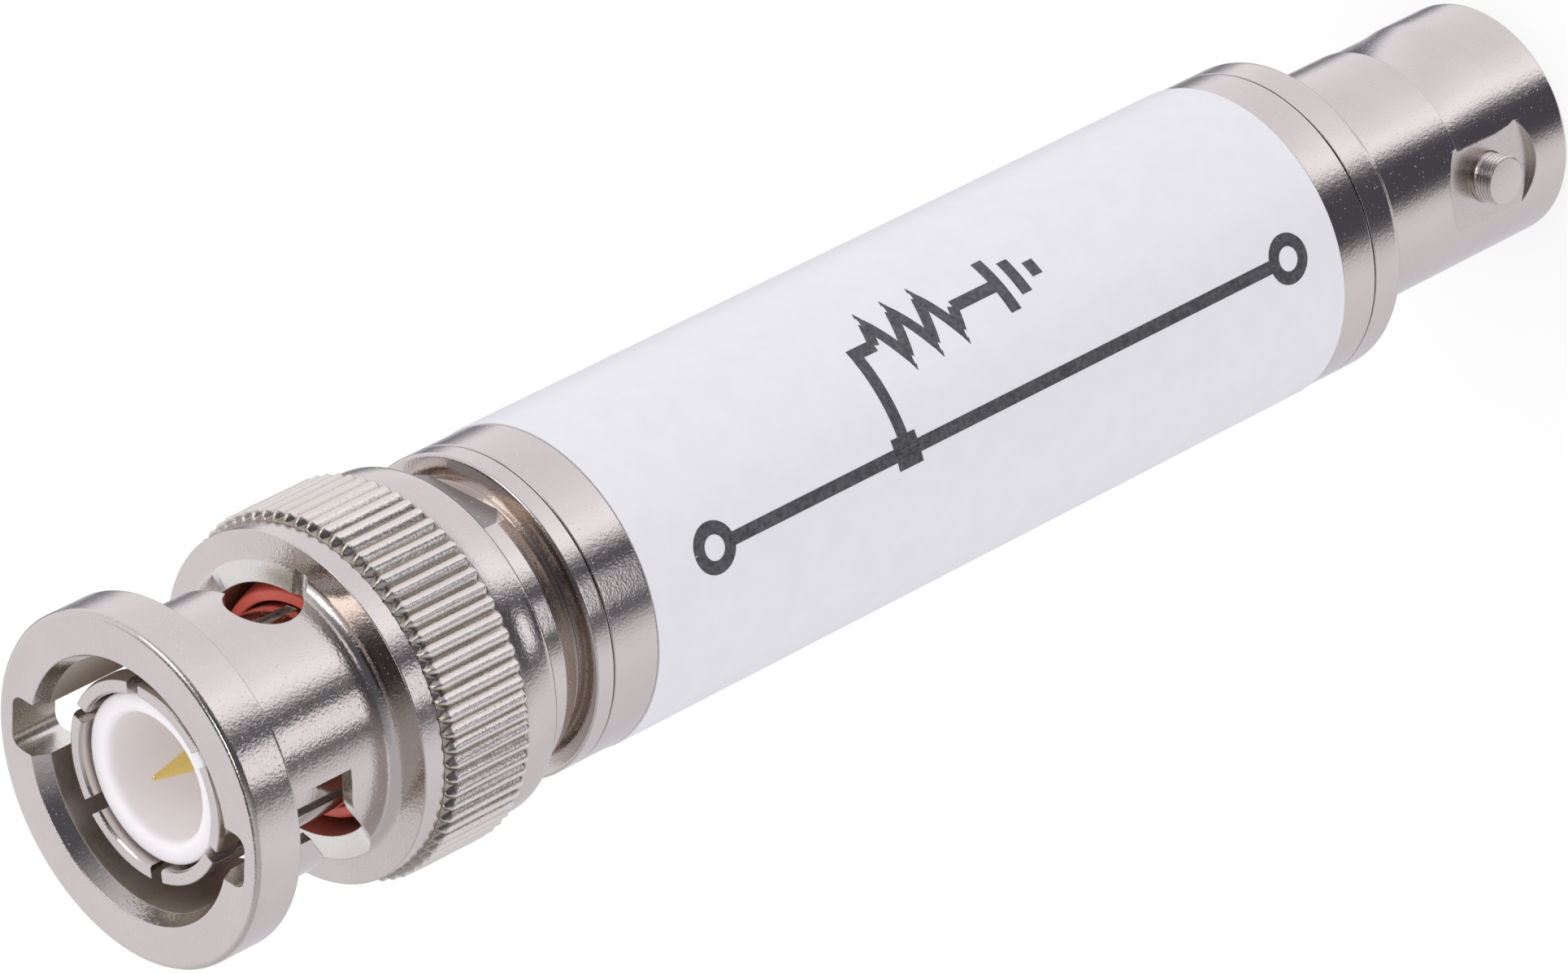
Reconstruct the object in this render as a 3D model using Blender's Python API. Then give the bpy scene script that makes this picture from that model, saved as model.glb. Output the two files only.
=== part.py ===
"""In-line bayonet termination: a plug with a turning coupling nut, a tube and a socket.

The part stands on the open end of its socket, with the plug on top. Heights run up the
common axis from the socket's front face, and every size is in metres.
"""

from math import cos, pi, radians, sin

import bmesh
import bpy
from mathutils import Matrix, Vector

MM = 0.001

# Clearances
FIT = 0.05 * MM
PRESS_FIT = 0.03 * MM
BORE_CLEARANCE = 0.10 * MM
RUNNING_CLEARANCE = 0.15 * MM
CUT_OVERRUN = 0.6 * MM

# Facets around each kind of round piece
BODY_SEGMENTS = 48
NUT_SEGMENTS = 72
WASHER_SEGMENTS = 36
INSULATOR_SEGMENTS = 32
PIN_SEGMENTS = 20
CUTTER_SEGMENTS = 24

# Socket shell
BARREL_RADIUS = 4.84 * MM
BARREL_LENGTH = 11.5 * MM
BARREL_BORE_RADIUS = 4.06 * MM
BARREL_BORE_DEPTH = 8.5 * MM
BARREL_EDGE = 0.12 * MM
BARREL_FOOT_RADIUS = 4.90 * MM
BARREL_FOOT_LENGTH = 1.3 * MM
SHELL_FLANGE_LENGTH = 1.5 * MM
SHELL_FLANGE_EDGE = 0.25 * MM
SHELL_SPIGOT_LENGTH = 2.8 * MM

# Bayonet lugs
LUG_RADIUS = 1.0 * MM
LUG_TIP_RADIUS = 5.5 * MM
LUG_EDGE = 0.1 * MM
LUG_HEIGHT = 4.35 * MM
LUG_TURN = radians(8.5)
LUG_SEAT_RADIUS = 2.5 * MM
LUG_SEAT_LEVEL = 4.52 * MM
LUG_ROOT_DEPTH = 0.35 * MM

# Body tube and its sleeve
TUBE_RADIUS = 6.41 * MM
TUBE_BORE_RADIUS = 5.85 * MM
TUBE_EDGE = 0.06 * MM
SLEEVE_RADIUS = 6.47 * MM
SLEEVE_WALL = 0.11 * MM
SLEEVE_LENGTH = 37.0 * MM
SLEEVE_REAR_SETBACK = 1.8 * MM
SLEEVE_FRONT_SETBACK = 2.2 * MM
SLEEVE_CLEARANCE = 0.03 * MM

# Front end cap with its wrench flats
CAP_RIM_LENGTH = 0.85 * MM
CAP_RIM_EDGE = 0.12 * MM
CAP_GROOVE_RADIUS = 5.4 * MM
CAP_GROOVE_LENGTH = 0.45 * MM
COLLAR_RADIUS = 6.0 * MM
COLLAR_LENGTH = 2.5 * MM
COLLAR_CHAMFER_LENGTH = 0.7 * MM
COLLAR_CHAMFER_DEPTH = 0.25 * MM
WRENCH_FLAT_LEVEL = 5.46 * MM
CAP_SPIGOT_LENGTH = 2.7 * MM
CAP_WEB_THICKNESS = 1.0 * MM
CAP_WEB_BORE_RADIUS = 2.0 * MM

# Coupling nut
NUT_LIP_OVERLAP = 0.65 * MM
NUT_RING_RADIUS = 6.90 * MM
NUT_RING_LENGTH = 2.05 * MM
NUT_RING_EDGE = 0.18 * MM
NUT_NECK_RADIUS = 5.45 * MM
NUT_NECK_LENGTH = 5.3 * MM
NUT_FLARE_LENGTH = 1.05 * MM
NUT_COLLAR_RADIUS = 6.87 * MM
NUT_COLLAR_LENGTH = 0.6 * MM
NUT_REAR_COLLAR_LENGTH = 1.65 * MM
NUT_COLLAR_EDGE = 0.15 * MM
NUT_BORE_RADIUS = 4.92 * MM
NUT_MOUTH_RADIUS = 5.22 * MM
NUT_MOUTH_DEPTH = 0.65 * MM
NUT_CHAMBER_DEPTH = 4.2 * MM
NUT_LIP_LENGTH = 0.75 * MM
TURN_OF_NUT = radians(-4.5)
FLARE_STEPS = 7

# Knurl of the coupling nut
KNURL_RADIUS = 7.25 * MM
KNURL_DEPTH = 0.30 * MM
KNURL_LENGTH = 4.1 * MM
KNURL_RUNOUT = 0.45 * MM

# Entry channels and cam slots of the coupling nut
BAYONET_COUNT = 2
CHANNEL_CLEARANCE = 0.10 * MM
CHANNEL_RADIUS = 6.15 * MM
CHANNEL_CORNER = 0.5 * MM
CAM_START_DEPTH = 4.75 * MM
CAM_PEAK_DEPTH = 6.85 * MM
CAM_RISE_TURN = radians(45)
CAM_TURN = radians(90)
CAM_STEPS = 14
DETENT_RADIUS = 1.45 * MM
DETENT_DEPTH = 6.4 * MM

# Spring set inside the nut
RETAINING_RING_THICKNESS = 0.35 * MM
RETAINING_RING_BITE = 0.35 * MM
RETAINING_RING_GAP = radians(24)
THRUST_WASHER_THICKNESS = 0.35 * MM
WAVE_WASHER_HEIGHT = 1.7 * MM
WAVE_WASHER_THICKNESS = 0.2 * MM
WAVE_COUNT = 3
WASHER_BORE_RADIUS = 4.7 * MM

# Plug body with its spring fingers
JOURNAL_RADIUS = 4.5 * MM
BODY_FLANGE_THICKNESS = 0.7 * MM
FINGER_SETBACK = 0.82 * MM
FINGER_BEAD_RADIUS = 4.03 * MM
FINGER_RADIUS = 3.88 * MM
FINGER_EDGE = 0.12 * MM
FINGER_MOUTH_EDGE = 0.08 * MM
FINGER_BEAD_LENGTH = 1.2 * MM
FINGER_COUNT = 6
FINGER_SLOT_WIDTH = 0.58 * MM
FINGER_SLOT_LENGTH = 7.7 * MM
FINGER_TURN = radians(6.5)
BODY_BORE_RADIUS = 3.42 * MM
STEM_LENGTH = 5.4 * MM

# Gasket
GASKET_THICKNESS = 1.4 * MM
GASKET_WALL = 0.7 * MM
GASKET_EDGE = 0.15 * MM

# Plug insulators and pin
INSULATOR_RADIUS = 3.32 * MM
INSULATOR_SETBACK = 1.2 * MM
INSULATOR_MOUTH_RADIUS = 2.42 * MM
INSULATOR_MOUTH_EDGE = 0.12 * MM
INSULATOR_MOUTH_DEPTH = 8.6 * MM
INSULATOR_LENGTH = 11.4 * MM
PIN_RADIUS = 0.675 * MM
PIN_SETBACK = 1.2 * MM
PIN_POINT_LENGTH = 3.2 * MM
PIN_POINT_RADIUS = 0.10 * MM
CUP_RADIUS = 0.95 * MM
CUP_LENGTH = 2.6 * MM
CUP_DEPTH = 2.0 * MM

# Socket insulators and contact
SOCKET_POST_RADIUS = 2.36 * MM
SOCKET_POST_SETBACK = 0.25 * MM
SOCKET_INSULATOR_RADIUS = 3.2 * MM
SOCKET_INSULATOR_LENGTH = 12.2 * MM
CONTACT_RADIUS = 1.05 * MM
CONTACT_SETBACK = 0.5 * MM
CONTACT_LENGTH = 11.3 * MM
CONTACT_BORE_RADIUS = 0.69 * MM
CONTACT_BORE_DEPTH = 4.6 * MM
CONTACT_SLOT_WIDTH = 0.24 * MM
CONTACT_SLOT_LENGTH = 3.6 * MM
CONTACT_SLOT_COUNT = 4

# Load and its wiring
CONDUCTOR_RADIUS = 0.5 * MM
RESISTOR_COUNT = 2
RESISTOR_RADIUS = 1.75 * MM
RESISTOR_WAIST_RADIUS = 1.55 * MM
RESISTOR_LENGTH = 9.5 * MM
RESISTOR_END_LENGTH = 1.9 * MM
RESISTOR_EDGE = 0.35 * MM
RESISTOR_OFFSET = 3.3 * MM
RESISTOR_HEIGHT = 28.0 * MM
LEAD_RADIUS = 0.3 * MM
LEAD_BEND_RADIUS = 1.0 * MM
LEAD_RUN = 2.2 * MM
GROUND_RING_THICKNESS = 0.4 * MM
GROUND_RING_BORE_RADIUS = 2.2 * MM

# Lengths that are the sum of their stretches
NUT_BACK_LENGTH = NUT_REAR_COLLAR_LENGTH + KNURL_LENGTH + NUT_COLLAR_LENGTH + NUT_FLARE_LENGTH
NUT_LENGTH = NUT_BACK_LENGTH + NUT_NECK_LENGTH + NUT_RING_LENGTH

# Heights of the joints between pieces, worked out from the socket's face upwards
SHELL_FLANGE_TOP = BARREL_LENGTH + SHELL_FLANGE_LENGTH
SHELL_TOP = SHELL_FLANGE_TOP + SHELL_SPIGOT_LENGTH
TUBE_BOTTOM = SHELL_FLANGE_TOP + FIT
SLEEVE_BOTTOM = TUBE_BOTTOM + SLEEVE_REAR_SETBACK
SLEEVE_TOP = SLEEVE_BOTTOM + SLEEVE_LENGTH
TUBE_TOP = SLEEVE_TOP + SLEEVE_FRONT_SETBACK
CAP_RIM_BOTTOM = TUBE_TOP + FIT
CAP_RIM_TOP = CAP_RIM_BOTTOM + CAP_RIM_LENGTH
COLLAR_BOTTOM = CAP_RIM_TOP + CAP_GROOVE_LENGTH
COLLAR_TOP = COLLAR_BOTTOM + COLLAR_LENGTH
CAP_BOTTOM = CAP_RIM_BOTTOM - CAP_SPIGOT_LENGTH
NUT_BOTTOM = COLLAR_TOP - NUT_LIP_OVERLAP
NUT_TOP = NUT_BOTTOM + NUT_LENGTH
RING_BOTTOM = NUT_BOTTOM + NUT_LIP_LENGTH + FIT
RING_TOP = RING_BOTTOM + RETAINING_RING_THICKNESS
THRUST_BOTTOM = RING_TOP + FIT
THRUST_TOP = THRUST_BOTTOM + THRUST_WASHER_THICKNESS
WAVE_BOTTOM = THRUST_TOP + FIT
WAVE_TOP = WAVE_BOTTOM + WAVE_WASHER_HEIGHT
BODY_FLANGE_BOTTOM = WAVE_TOP + FIT
BODY_FLANGE_TOP = BODY_FLANGE_BOTTOM + BODY_FLANGE_THICKNESS
GASKET_BOTTOM = BODY_FLANGE_TOP + FIT
GASKET_TOP = GASKET_BOTTOM + GASKET_THICKNESS
FINGER_TOP = NUT_TOP - FINGER_SETBACK
BODY_BOTTOM = CAP_RIM_BOTTOM - CAP_SPIGOT_LENGTH + CAP_WEB_THICKNESS + FIT
INSULATOR_TOP = NUT_TOP - INSULATOR_SETBACK
INSULATOR_BOTTOM = INSULATOR_TOP - INSULATOR_LENGTH
REAR_INSULATOR_TOP = INSULATOR_BOTTOM - FIT
PIN_TOP = NUT_TOP - PIN_SETBACK
CUP_TOP = REAR_INSULATOR_TOP - FIT
CUP_BOTTOM = CUP_TOP - CUP_LENGTH
SOCKET_INSULATOR_TOP = SOCKET_POST_SETBACK + SOCKET_INSULATOR_LENGTH
CONTACT_TOP = CONTACT_SETBACK + CONTACT_LENGTH
GROUND_RING_BOTTOM = SHELL_TOP + FIT
GROUND_RING_TOP = GROUND_RING_BOTTOM + GROUND_RING_THICKNESS

# Radii that follow from the pieces that fit together
SPIGOT_RADIUS = TUBE_BORE_RADIUS - BORE_CLEARANCE
TUBE_RELIEF_RADIUS = SLEEVE_RADIUS - SLEEVE_WALL - SLEEVE_CLEARANCE
NUT_CHAMBER_RADIUS = COLLAR_RADIUS + RUNNING_CLEARANCE
RING_RADIUS = NUT_CHAMBER_RADIUS + RETAINING_RING_BITE
RING_GROOVE_RADIUS = RING_RADIUS + FIT
WASHER_RADIUS = NUT_CHAMBER_RADIUS - 2 * RUNNING_CLEARANCE
BODY_FLANGE_RADIUS = NUT_CHAMBER_RADIUS - RUNNING_CLEARANCE
STEM_BORE_RADIUS = JOURNAL_RADIUS + BORE_CLEARANCE
GASKET_BORE_RADIUS = FINGER_RADIUS + BORE_CLEARANCE
GASKET_RADIUS = GASKET_BORE_RADIUS + GASKET_WALL
WIRE_BORE_RADIUS = CONDUCTOR_RADIUS + FIT
SHELL_BORE_RADIUS = SOCKET_INSULATOR_RADIUS + BORE_CLEARANCE
CHANNEL_HALF_WIDTH = LUG_RADIUS + CHANNEL_CLEARANCE


def clear_scene():
    """Removes every object that the scene starts with."""
    for item in list(bpy.data.objects):
        bpy.data.objects.remove(item, do_unlink=True)


def finish(name, colour, roughness, metallic):
    """Makes a Principled material, or returns the one of that name."""
    if name in bpy.data.materials:
        return bpy.data.materials[name]
    material = bpy.data.materials.new(name)
    material.use_nodes = True
    shader = material.node_tree.nodes["Principled BSDF"]
    shader.inputs["Base Color"].default_value = (*colour, 1.0)
    shader.inputs["Roughness"].default_value = roughness
    shader.inputs["Metallic"].default_value = metallic
    material.diffuse_color = (*colour, 1.0)
    return material


def nickel():
    return finish("satin_nickel", (0.62, 0.59, 0.57), 0.28, 1.0)


def spring_steel():
    return finish("spring_steel", (0.46, 0.45, 0.44), 0.35, 1.0)


def gold():
    return finish("gold_plate", (0.83, 0.62, 0.22), 0.25, 1.0)


def copper():
    return finish("tinned_copper", (0.70, 0.66, 0.62), 0.35, 1.0)


def white_resin():
    return finish("white_fluoropolymer", (0.86, 0.86, 0.88), 0.45, 0.0)


def red_rubber():
    return finish("red_silicone", (0.36, 0.05, 0.04), 0.55, 0.0)


def white_film():
    return finish("white_sleeve_film", (0.80, 0.80, 0.83), 0.40, 0.0)


def resistor_lacquer():
    return finish("blue_lacquer", (0.10, 0.26, 0.42), 0.40, 0.0)


def add_object(name, mesh, material, origin=(0.0, 0.0, 0.0), turn=0.0):
    """Links a mesh as a named object at its origin, turned about the vertical axis."""
    mesh.materials.append(material)
    mesh.shade_smooth()
    mesh.set_sharp_from_angle(angle=radians(32))
    item = bpy.data.objects.new(name, mesh)
    item.location = origin
    item.rotation_euler = (0.0, 0.0, turn)
    bpy.context.scene.collection.objects.link(item)
    return item


def mesh_from(name, bm):
    """Turns a bmesh into a mesh whose faces all point out."""
    bmesh.ops.recalc_face_normals(bm, faces=bm.faces)
    mesh = bpy.data.meshes.new(name)
    bm.to_mesh(mesh)
    bm.free()
    return mesh


def join_rings(bm, lower, upper):
    """Makes the band of faces between two closed rings of one point, n points or 2n points."""
    if len(lower) > len(upper):
        lower, upper = upper, lower
    count = len(upper)
    share = count // len(lower)
    if len(lower) == 1:
        for k in range(count):
            bm.faces.new((lower[0], upper[k], upper[(k + 1) % count]))
        return
    for k in range(len(lower)):
        near = [upper[(share * k + step) % count] for step in range(share, -1, -1)]
        bm.faces.new([lower[k], lower[(k + 1) % len(lower)], *near])


def ring_of(bm, radius, height, segments):
    """A ring of points, whose radius may be a function of the point's number."""
    if radius == 0:
        return [bm.verts.new((0.0, 0.0, height))]
    ring = []
    for k in range(segments):
        angle = 2 * pi * k / segments
        r = radius(k) if callable(radius) else radius
        ring.append(bm.verts.new((r * cos(angle), r * sin(angle), height)))
    return ring


def turned_mesh(name, section, segments):
    """Spins a closed section of (radius, height) corners round the vertical axis.

    A corner may state its own number of segments as a third value. A section that starts
    and ends on the axis makes a solid piece, and any other section makes a ring.
    """
    bm = bmesh.new()
    rings = []
    for corner in section:
        count = corner[2] if len(corner) > 2 else segments
        rings.append(ring_of(bm, corner[0], corner[1], count))
    for first, second in zip(rings, rings[1:]):
        join_rings(bm, first, second)
    if len(rings[0]) > 1:
        join_rings(bm, rings[-1], rings[0])
    return mesh_from(name, bm)


def turned(name, section, segments, material, origin=(0.0, 0.0, 0.0), turn=0.0):
    """Adds a turned piece as an object."""
    return add_object(name, turned_mesh(name, section, segments), material, origin, turn)


def cut(target, cutter):
    """Takes one hidden cutter out of a piece with a live Boolean."""
    cutter.hide_render = True
    cutter.display_type = "WIRE"
    modifier = target.modifiers.new(cutter.name, "BOOLEAN")
    modifier.operation = "DIFFERENCE"
    modifier.solver = "EXACT"
    modifier.object = cutter


def cutter_object(name, bm, parent=None):
    """Links a cutter made in the space of its parent."""
    cutter = bpy.data.objects.new(name, mesh_from(name, bm))
    cutter.parent = parent
    bpy.context.scene.collection.objects.link(cutter)
    return cutter


def box_bmesh(low, high):
    """A box between two corners."""
    bm = bmesh.new()
    bmesh.ops.create_cube(bm, size=1.0)
    size = Vector(high) - Vector(low)
    middle = (Vector(high) + Vector(low)) / 2
    bmesh.ops.scale(bm, vec=size, verts=bm.verts)
    bmesh.ops.translate(bm, vec=middle, verts=bm.verts)
    return bm


def radial_cylinder(radius, inner, outer, height, angle, segments=CUTTER_SEGMENTS):
    """A cylinder that runs straight out from the vertical axis, at an angle and a height."""
    bm = bmesh.new()
    lay_flat = Matrix.Rotation(pi / 2, 4, "Y")
    swing = Matrix.Rotation(angle, 4, "Z")
    place = swing @ Matrix.Translation(((inner + outer) / 2, 0.0, height)) @ lay_flat
    bmesh.ops.create_cone(
        bm,
        cap_ends=True,
        segments=segments,
        radius1=radius,
        radius2=radius,
        depth=outer - inner,
        matrix=place,
    )
    return bm


def extruded_outline(points, bottom, top):
    """A prism whose plan is a closed outline of (x, y) points."""
    bm = bmesh.new()
    lower = [bm.verts.new((x, y, bottom)) for x, y in points]
    upper = [bm.verts.new((x, y, top)) for x, y in points]
    bm.faces.new(lower)
    bm.faces.new(upper)
    for k in range(len(points)):
        following = (k + 1) % len(points)
        bm.faces.new((lower[k], lower[following], upper[following], upper[k]))
    return bm


def arc(centre, radius, start, stop, steps):
    """Points along an arc, both ends included."""
    points = []
    for k in range(steps + 1):
        angle = start + (stop - start) * k / steps
        points.append((centre[0] + radius * cos(angle), centre[1] + radius * sin(angle)))
    return points


def knurl_radius(number):
    """Ridges and valleys in turn, one of each for every tooth."""
    return KNURL_RADIUS - (KNURL_DEPTH if number % 2 else 0.0)


def nut_flare():
    """The concave flare from the nut's collar in to its neck, as (radius, height)."""
    foot = NUT_REAR_COLLAR_LENGTH + KNURL_LENGTH + NUT_COLLAR_LENGTH
    rise = NUT_COLLAR_RADIUS - NUT_NECK_RADIUS
    points = []
    for k in range(1, FLARE_STEPS + 1):
        share = 1 - sin(pi / 2 * k / FLARE_STEPS)
        up = 1 - cos(pi / 2 * k / FLARE_STEPS)
        points.append((NUT_NECK_RADIUS + rise * share, foot + NUT_FLARE_LENGTH * up))
    return points


def nut_section():
    """The coupling nut's section, from its rear lip up the outside and down the bore."""
    fine = 2 * NUT_SEGMENTS
    valley = KNURL_RADIUS - KNURL_DEPTH
    knurl_bottom = NUT_REAR_COLLAR_LENGTH
    knurl_top = knurl_bottom + KNURL_LENGTH
    collar_top = knurl_top + NUT_COLLAR_LENGTH
    ring_bottom = NUT_LENGTH - NUT_RING_LENGTH
    shoulder = NUT_CHAMBER_DEPTH
    groove_top = NUT_LIP_LENGTH + RETAINING_RING_THICKNESS + 2 * FIT
    section = [
        (NUT_CHAMBER_RADIUS, 0.0),
        (NUT_RING_RADIUS - NUT_COLLAR_EDGE, 0.0),
        (NUT_RING_RADIUS, NUT_COLLAR_EDGE),
        (NUT_RING_RADIUS, knurl_bottom),
        (valley, knurl_bottom, fine),
        (knurl_radius, knurl_bottom + KNURL_RUNOUT, fine),
        (knurl_radius, knurl_top - KNURL_RUNOUT, fine),
        (valley, knurl_top, fine),
        (NUT_COLLAR_RADIUS, knurl_top),
        (NUT_COLLAR_RADIUS, collar_top - NUT_COLLAR_EDGE),
        (NUT_COLLAR_RADIUS - NUT_COLLAR_EDGE / 2, collar_top),
    ]
    section += nut_flare()
    section += [
        (NUT_NECK_RADIUS, ring_bottom),
        (NUT_RING_RADIUS, ring_bottom),
        (NUT_RING_RADIUS, NUT_LENGTH - NUT_RING_EDGE),
        (NUT_RING_RADIUS - NUT_RING_EDGE, NUT_LENGTH),
        (NUT_MOUTH_RADIUS, NUT_LENGTH),
        (NUT_BORE_RADIUS, NUT_LENGTH - NUT_MOUTH_DEPTH),
        (NUT_BORE_RADIUS, shoulder),
        (NUT_CHAMBER_RADIUS, shoulder),
        (NUT_CHAMBER_RADIUS, groove_top),
        (RING_GROOVE_RADIUS, groove_top),
        (RING_GROOVE_RADIUS, NUT_LIP_LENGTH),
        (NUT_CHAMBER_RADIUS, NUT_LIP_LENGTH),
    ]
    return section


def channel_outline():
    """Plan of an entry channel that opens into the bore, with rounded outer corners."""
    side = CHANNEL_HALF_WIDTH
    corner = CHANNEL_CORNER
    outer = CHANNEL_RADIUS - corner
    inner = NUT_BORE_RADIUS - 4 * CUT_OVERRUN
    right = arc((outer, corner - side), corner, -pi / 2, 0.0, 4)
    left = arc((outer, side - corner), corner, 0.0, pi / 2, 4)
    return [(inner, -side), *right, *left, (inner, side)]


def cam_depth(turned_by):
    """Depth of the lug's path behind the nut's front face, rising smoothly to its peak."""
    share = min(turned_by / CAM_RISE_TURN, 1.0)
    smooth = share * share * (3 - 2 * share)
    return CAM_START_DEPTH + (CAM_PEAK_DEPTH - CAM_START_DEPTH) * smooth


def cam_bmesh(angle):
    """A helical strip, as wide as a lug's path, that cuts the cam slot through the neck."""
    bm = bmesh.new()
    inner = NUT_BORE_RADIUS - CUT_OVERRUN
    outer = KNURL_RADIUS + CUT_OVERRUN
    stations = []
    for k in range(CAM_STEPS + 1):
        swept = CAM_TURN * k / CAM_STEPS
        direction = angle - swept
        middle = NUT_LENGTH - cam_depth(swept)
        station = []
        for radius, side in ((inner, -1), (outer, -1), (outer, 1), (inner, 1)):
            x = radius * cos(direction)
            y = radius * sin(direction)
            station.append(bm.verts.new((x, y, middle + side * CHANNEL_HALF_WIDTH)))
        stations.append(station)
    for first, second in zip(stations, stations[1:]):
        for k in range(4):
            following = (k + 1) % 4
            bm.faces.new((first[k], first[following], second[following], second[k]))
    bm.faces.new(stations[0])
    bm.faces.new(stations[-1])
    return bm


def cut_bayonet_path(nut, number):
    """Cuts one entry channel, its cam slot and the detent hole at the slot's end."""
    angle = 2 * pi * number / BAYONET_COUNT
    reach = KNURL_RADIUS + CUT_OVERRUN
    end = NUT_LENGTH - CAM_START_DEPTH - CHANNEL_HALF_WIDTH
    channel = extruded_outline(channel_outline(), end, NUT_LENGTH + CUT_OVERRUN)
    bmesh.ops.rotate(channel, matrix=Matrix.Rotation(angle, 3, "Z"), verts=channel.verts)
    cut(nut, cutter_object(f"channel_cutter_{number + 1}", channel, nut))
    cut(nut, cutter_object(f"cam_cutter_{number + 1}", cam_bmesh(angle), nut))
    detent = radial_cylinder(
        DETENT_RADIUS,
        NUT_BORE_RADIUS - CUT_OVERRUN,
        reach,
        NUT_LENGTH - DETENT_DEPTH,
        angle - CAM_TURN,
    )
    cut(nut, cutter_object(f"detent_cutter_{number + 1}", detent, nut))


def coupling_nut():
    """The knurled nut, with the two bayonet paths cut through its neck."""
    nut = turned(
        "coupling_nut",
        nut_section(),
        NUT_SEGMENTS,
        nickel(),
        origin=(0.0, 0.0, NUT_BOTTOM),
        turn=TURN_OF_NUT,
    )
    for number in range(BAYONET_COUNT):
        cut_bayonet_path(nut, number)


def retaining_ring():
    """The split ring that snaps into the nut's groove."""
    bm = bmesh.new()
    steps = WASHER_SEGMENTS
    start = RETAINING_RING_GAP / 2
    sweep = 2 * pi - RETAINING_RING_GAP
    stations = []
    for k in range(steps + 1):
        angle = start + sweep * k / steps
        station = []
        for radius, height in (
            (WASHER_BORE_RADIUS, 0.0),
            (RING_RADIUS, 0.0),
            (RING_RADIUS, RETAINING_RING_THICKNESS),
            (WASHER_BORE_RADIUS, RETAINING_RING_THICKNESS),
        ):
            station.append(bm.verts.new((radius * cos(angle), radius * sin(angle), height)))
        stations.append(station)
    for first, second in zip(stations, stations[1:]):
        for k in range(4):
            following = (k + 1) % 4
            bm.faces.new((first[k], first[following], second[following], second[k]))
    bm.faces.new(stations[0])
    bm.faces.new(stations[-1])
    mesh = mesh_from("retaining_ring", bm)
    add_object("retaining_ring", mesh, spring_steel(), (0.0, 0.0, RING_BOTTOM))


def flat_ring(name, inner, outer, bottom, top, segments, material):
    """A plain ring of rectangular section."""
    section = [(inner, bottom), (outer, bottom), (outer, top), (inner, top)]
    return turned(name, section, segments, material)


def thrust_washer():
    """The flat washer that the retaining ring pushes against the spring."""
    turned(
        "thrust_washer",
        [
            (WASHER_BORE_RADIUS, 0.0),
            (WASHER_RADIUS, 0.0),
            (WASHER_RADIUS, THRUST_WASHER_THICKNESS),
            (WASHER_BORE_RADIUS, THRUST_WASHER_THICKNESS),
        ],
        WASHER_SEGMENTS,
        spring_steel(),
        origin=(0.0, 0.0, THRUST_BOTTOM),
    )


def wave_washer():
    """The wave spring between the thrust washer and the plug body's flange."""
    mesh = turned_mesh(
        "wave_washer",
        [
            (WASHER_BORE_RADIUS, 0.0),
            (WASHER_RADIUS, 0.0),
            (WASHER_RADIUS, WAVE_WASHER_THICKNESS),
            (WASHER_BORE_RADIUS, WAVE_WASHER_THICKNESS),
        ],
        2 * WASHER_SEGMENTS,
    )
    swing = (WAVE_WASHER_HEIGHT - WAVE_WASHER_THICKNESS) / 2
    for vertex in mesh.vertices:
        angle = Vector((1.0, 0.0)).angle_signed(vertex.co.xy)
        vertex.co.z += swing * (1 + cos(WAVE_COUNT * angle))
    add_object("wave_washer", mesh, spring_steel(), (0.0, 0.0, WAVE_BOTTOM))


def slot_cutters(target, name, count, width, radius, bottom, top, turn=0.0):
    """Cuts evenly spaced slots, each cutter serving the two slots that face each other."""
    for number in range(count // 2):
        bm = box_bmesh((-radius, -width / 2, bottom), (radius, width / 2, top))
        angle = turn + 2 * pi * (number + 0.5) / count
        bmesh.ops.rotate(bm, matrix=Matrix.Rotation(angle, 3, "Z"), verts=bm.verts)
        cut(target, cutter_object(f"{name}_{number + 1}", bm))


def plug_body():
    """The outer contact: slotted spring fingers, a flange, and the stem behind them."""
    bead_bottom = FINGER_TOP - FINGER_BEAD_LENGTH
    section = [
        (BODY_BORE_RADIUS, BODY_BOTTOM),
        (JOURNAL_RADIUS, BODY_BOTTOM),
        (JOURNAL_RADIUS, BODY_FLANGE_BOTTOM),
        (BODY_FLANGE_RADIUS, BODY_FLANGE_BOTTOM),
        (BODY_FLANGE_RADIUS, BODY_FLANGE_TOP),
        (FINGER_RADIUS, BODY_FLANGE_TOP),
        (FINGER_RADIUS, bead_bottom),
        (FINGER_BEAD_RADIUS, bead_bottom + FINGER_EDGE),
        (FINGER_BEAD_RADIUS, FINGER_TOP - FINGER_EDGE),
        (FINGER_BEAD_RADIUS - FINGER_EDGE, FINGER_TOP),
        (BODY_BORE_RADIUS + FINGER_MOUTH_EDGE, FINGER_TOP),
        (BODY_BORE_RADIUS, FINGER_TOP - FINGER_MOUTH_EDGE),
    ]
    body = turned("plug_body", section, BODY_SEGMENTS, nickel())
    slot_cutters(
        body,
        "finger_slot_cutter",
        FINGER_COUNT,
        FINGER_SLOT_WIDTH,
        FINGER_BEAD_RADIUS + CUT_OVERRUN,
        FINGER_TOP - FINGER_SLOT_LENGTH,
        FINGER_TOP + CUT_OVERRUN,
        FINGER_TURN,
    )


def gasket():
    """The soft ring that seals against the rim of the mating socket."""
    section = [
        (GASKET_BORE_RADIUS, GASKET_BOTTOM),
        (GASKET_RADIUS, GASKET_BOTTOM),
        (GASKET_RADIUS, GASKET_TOP - GASKET_EDGE),
        (GASKET_RADIUS - GASKET_EDGE, GASKET_TOP),
        (GASKET_BORE_RADIUS, GASKET_TOP),
    ]
    turned("gasket", section, INSULATOR_SEGMENTS, red_rubber())


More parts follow.
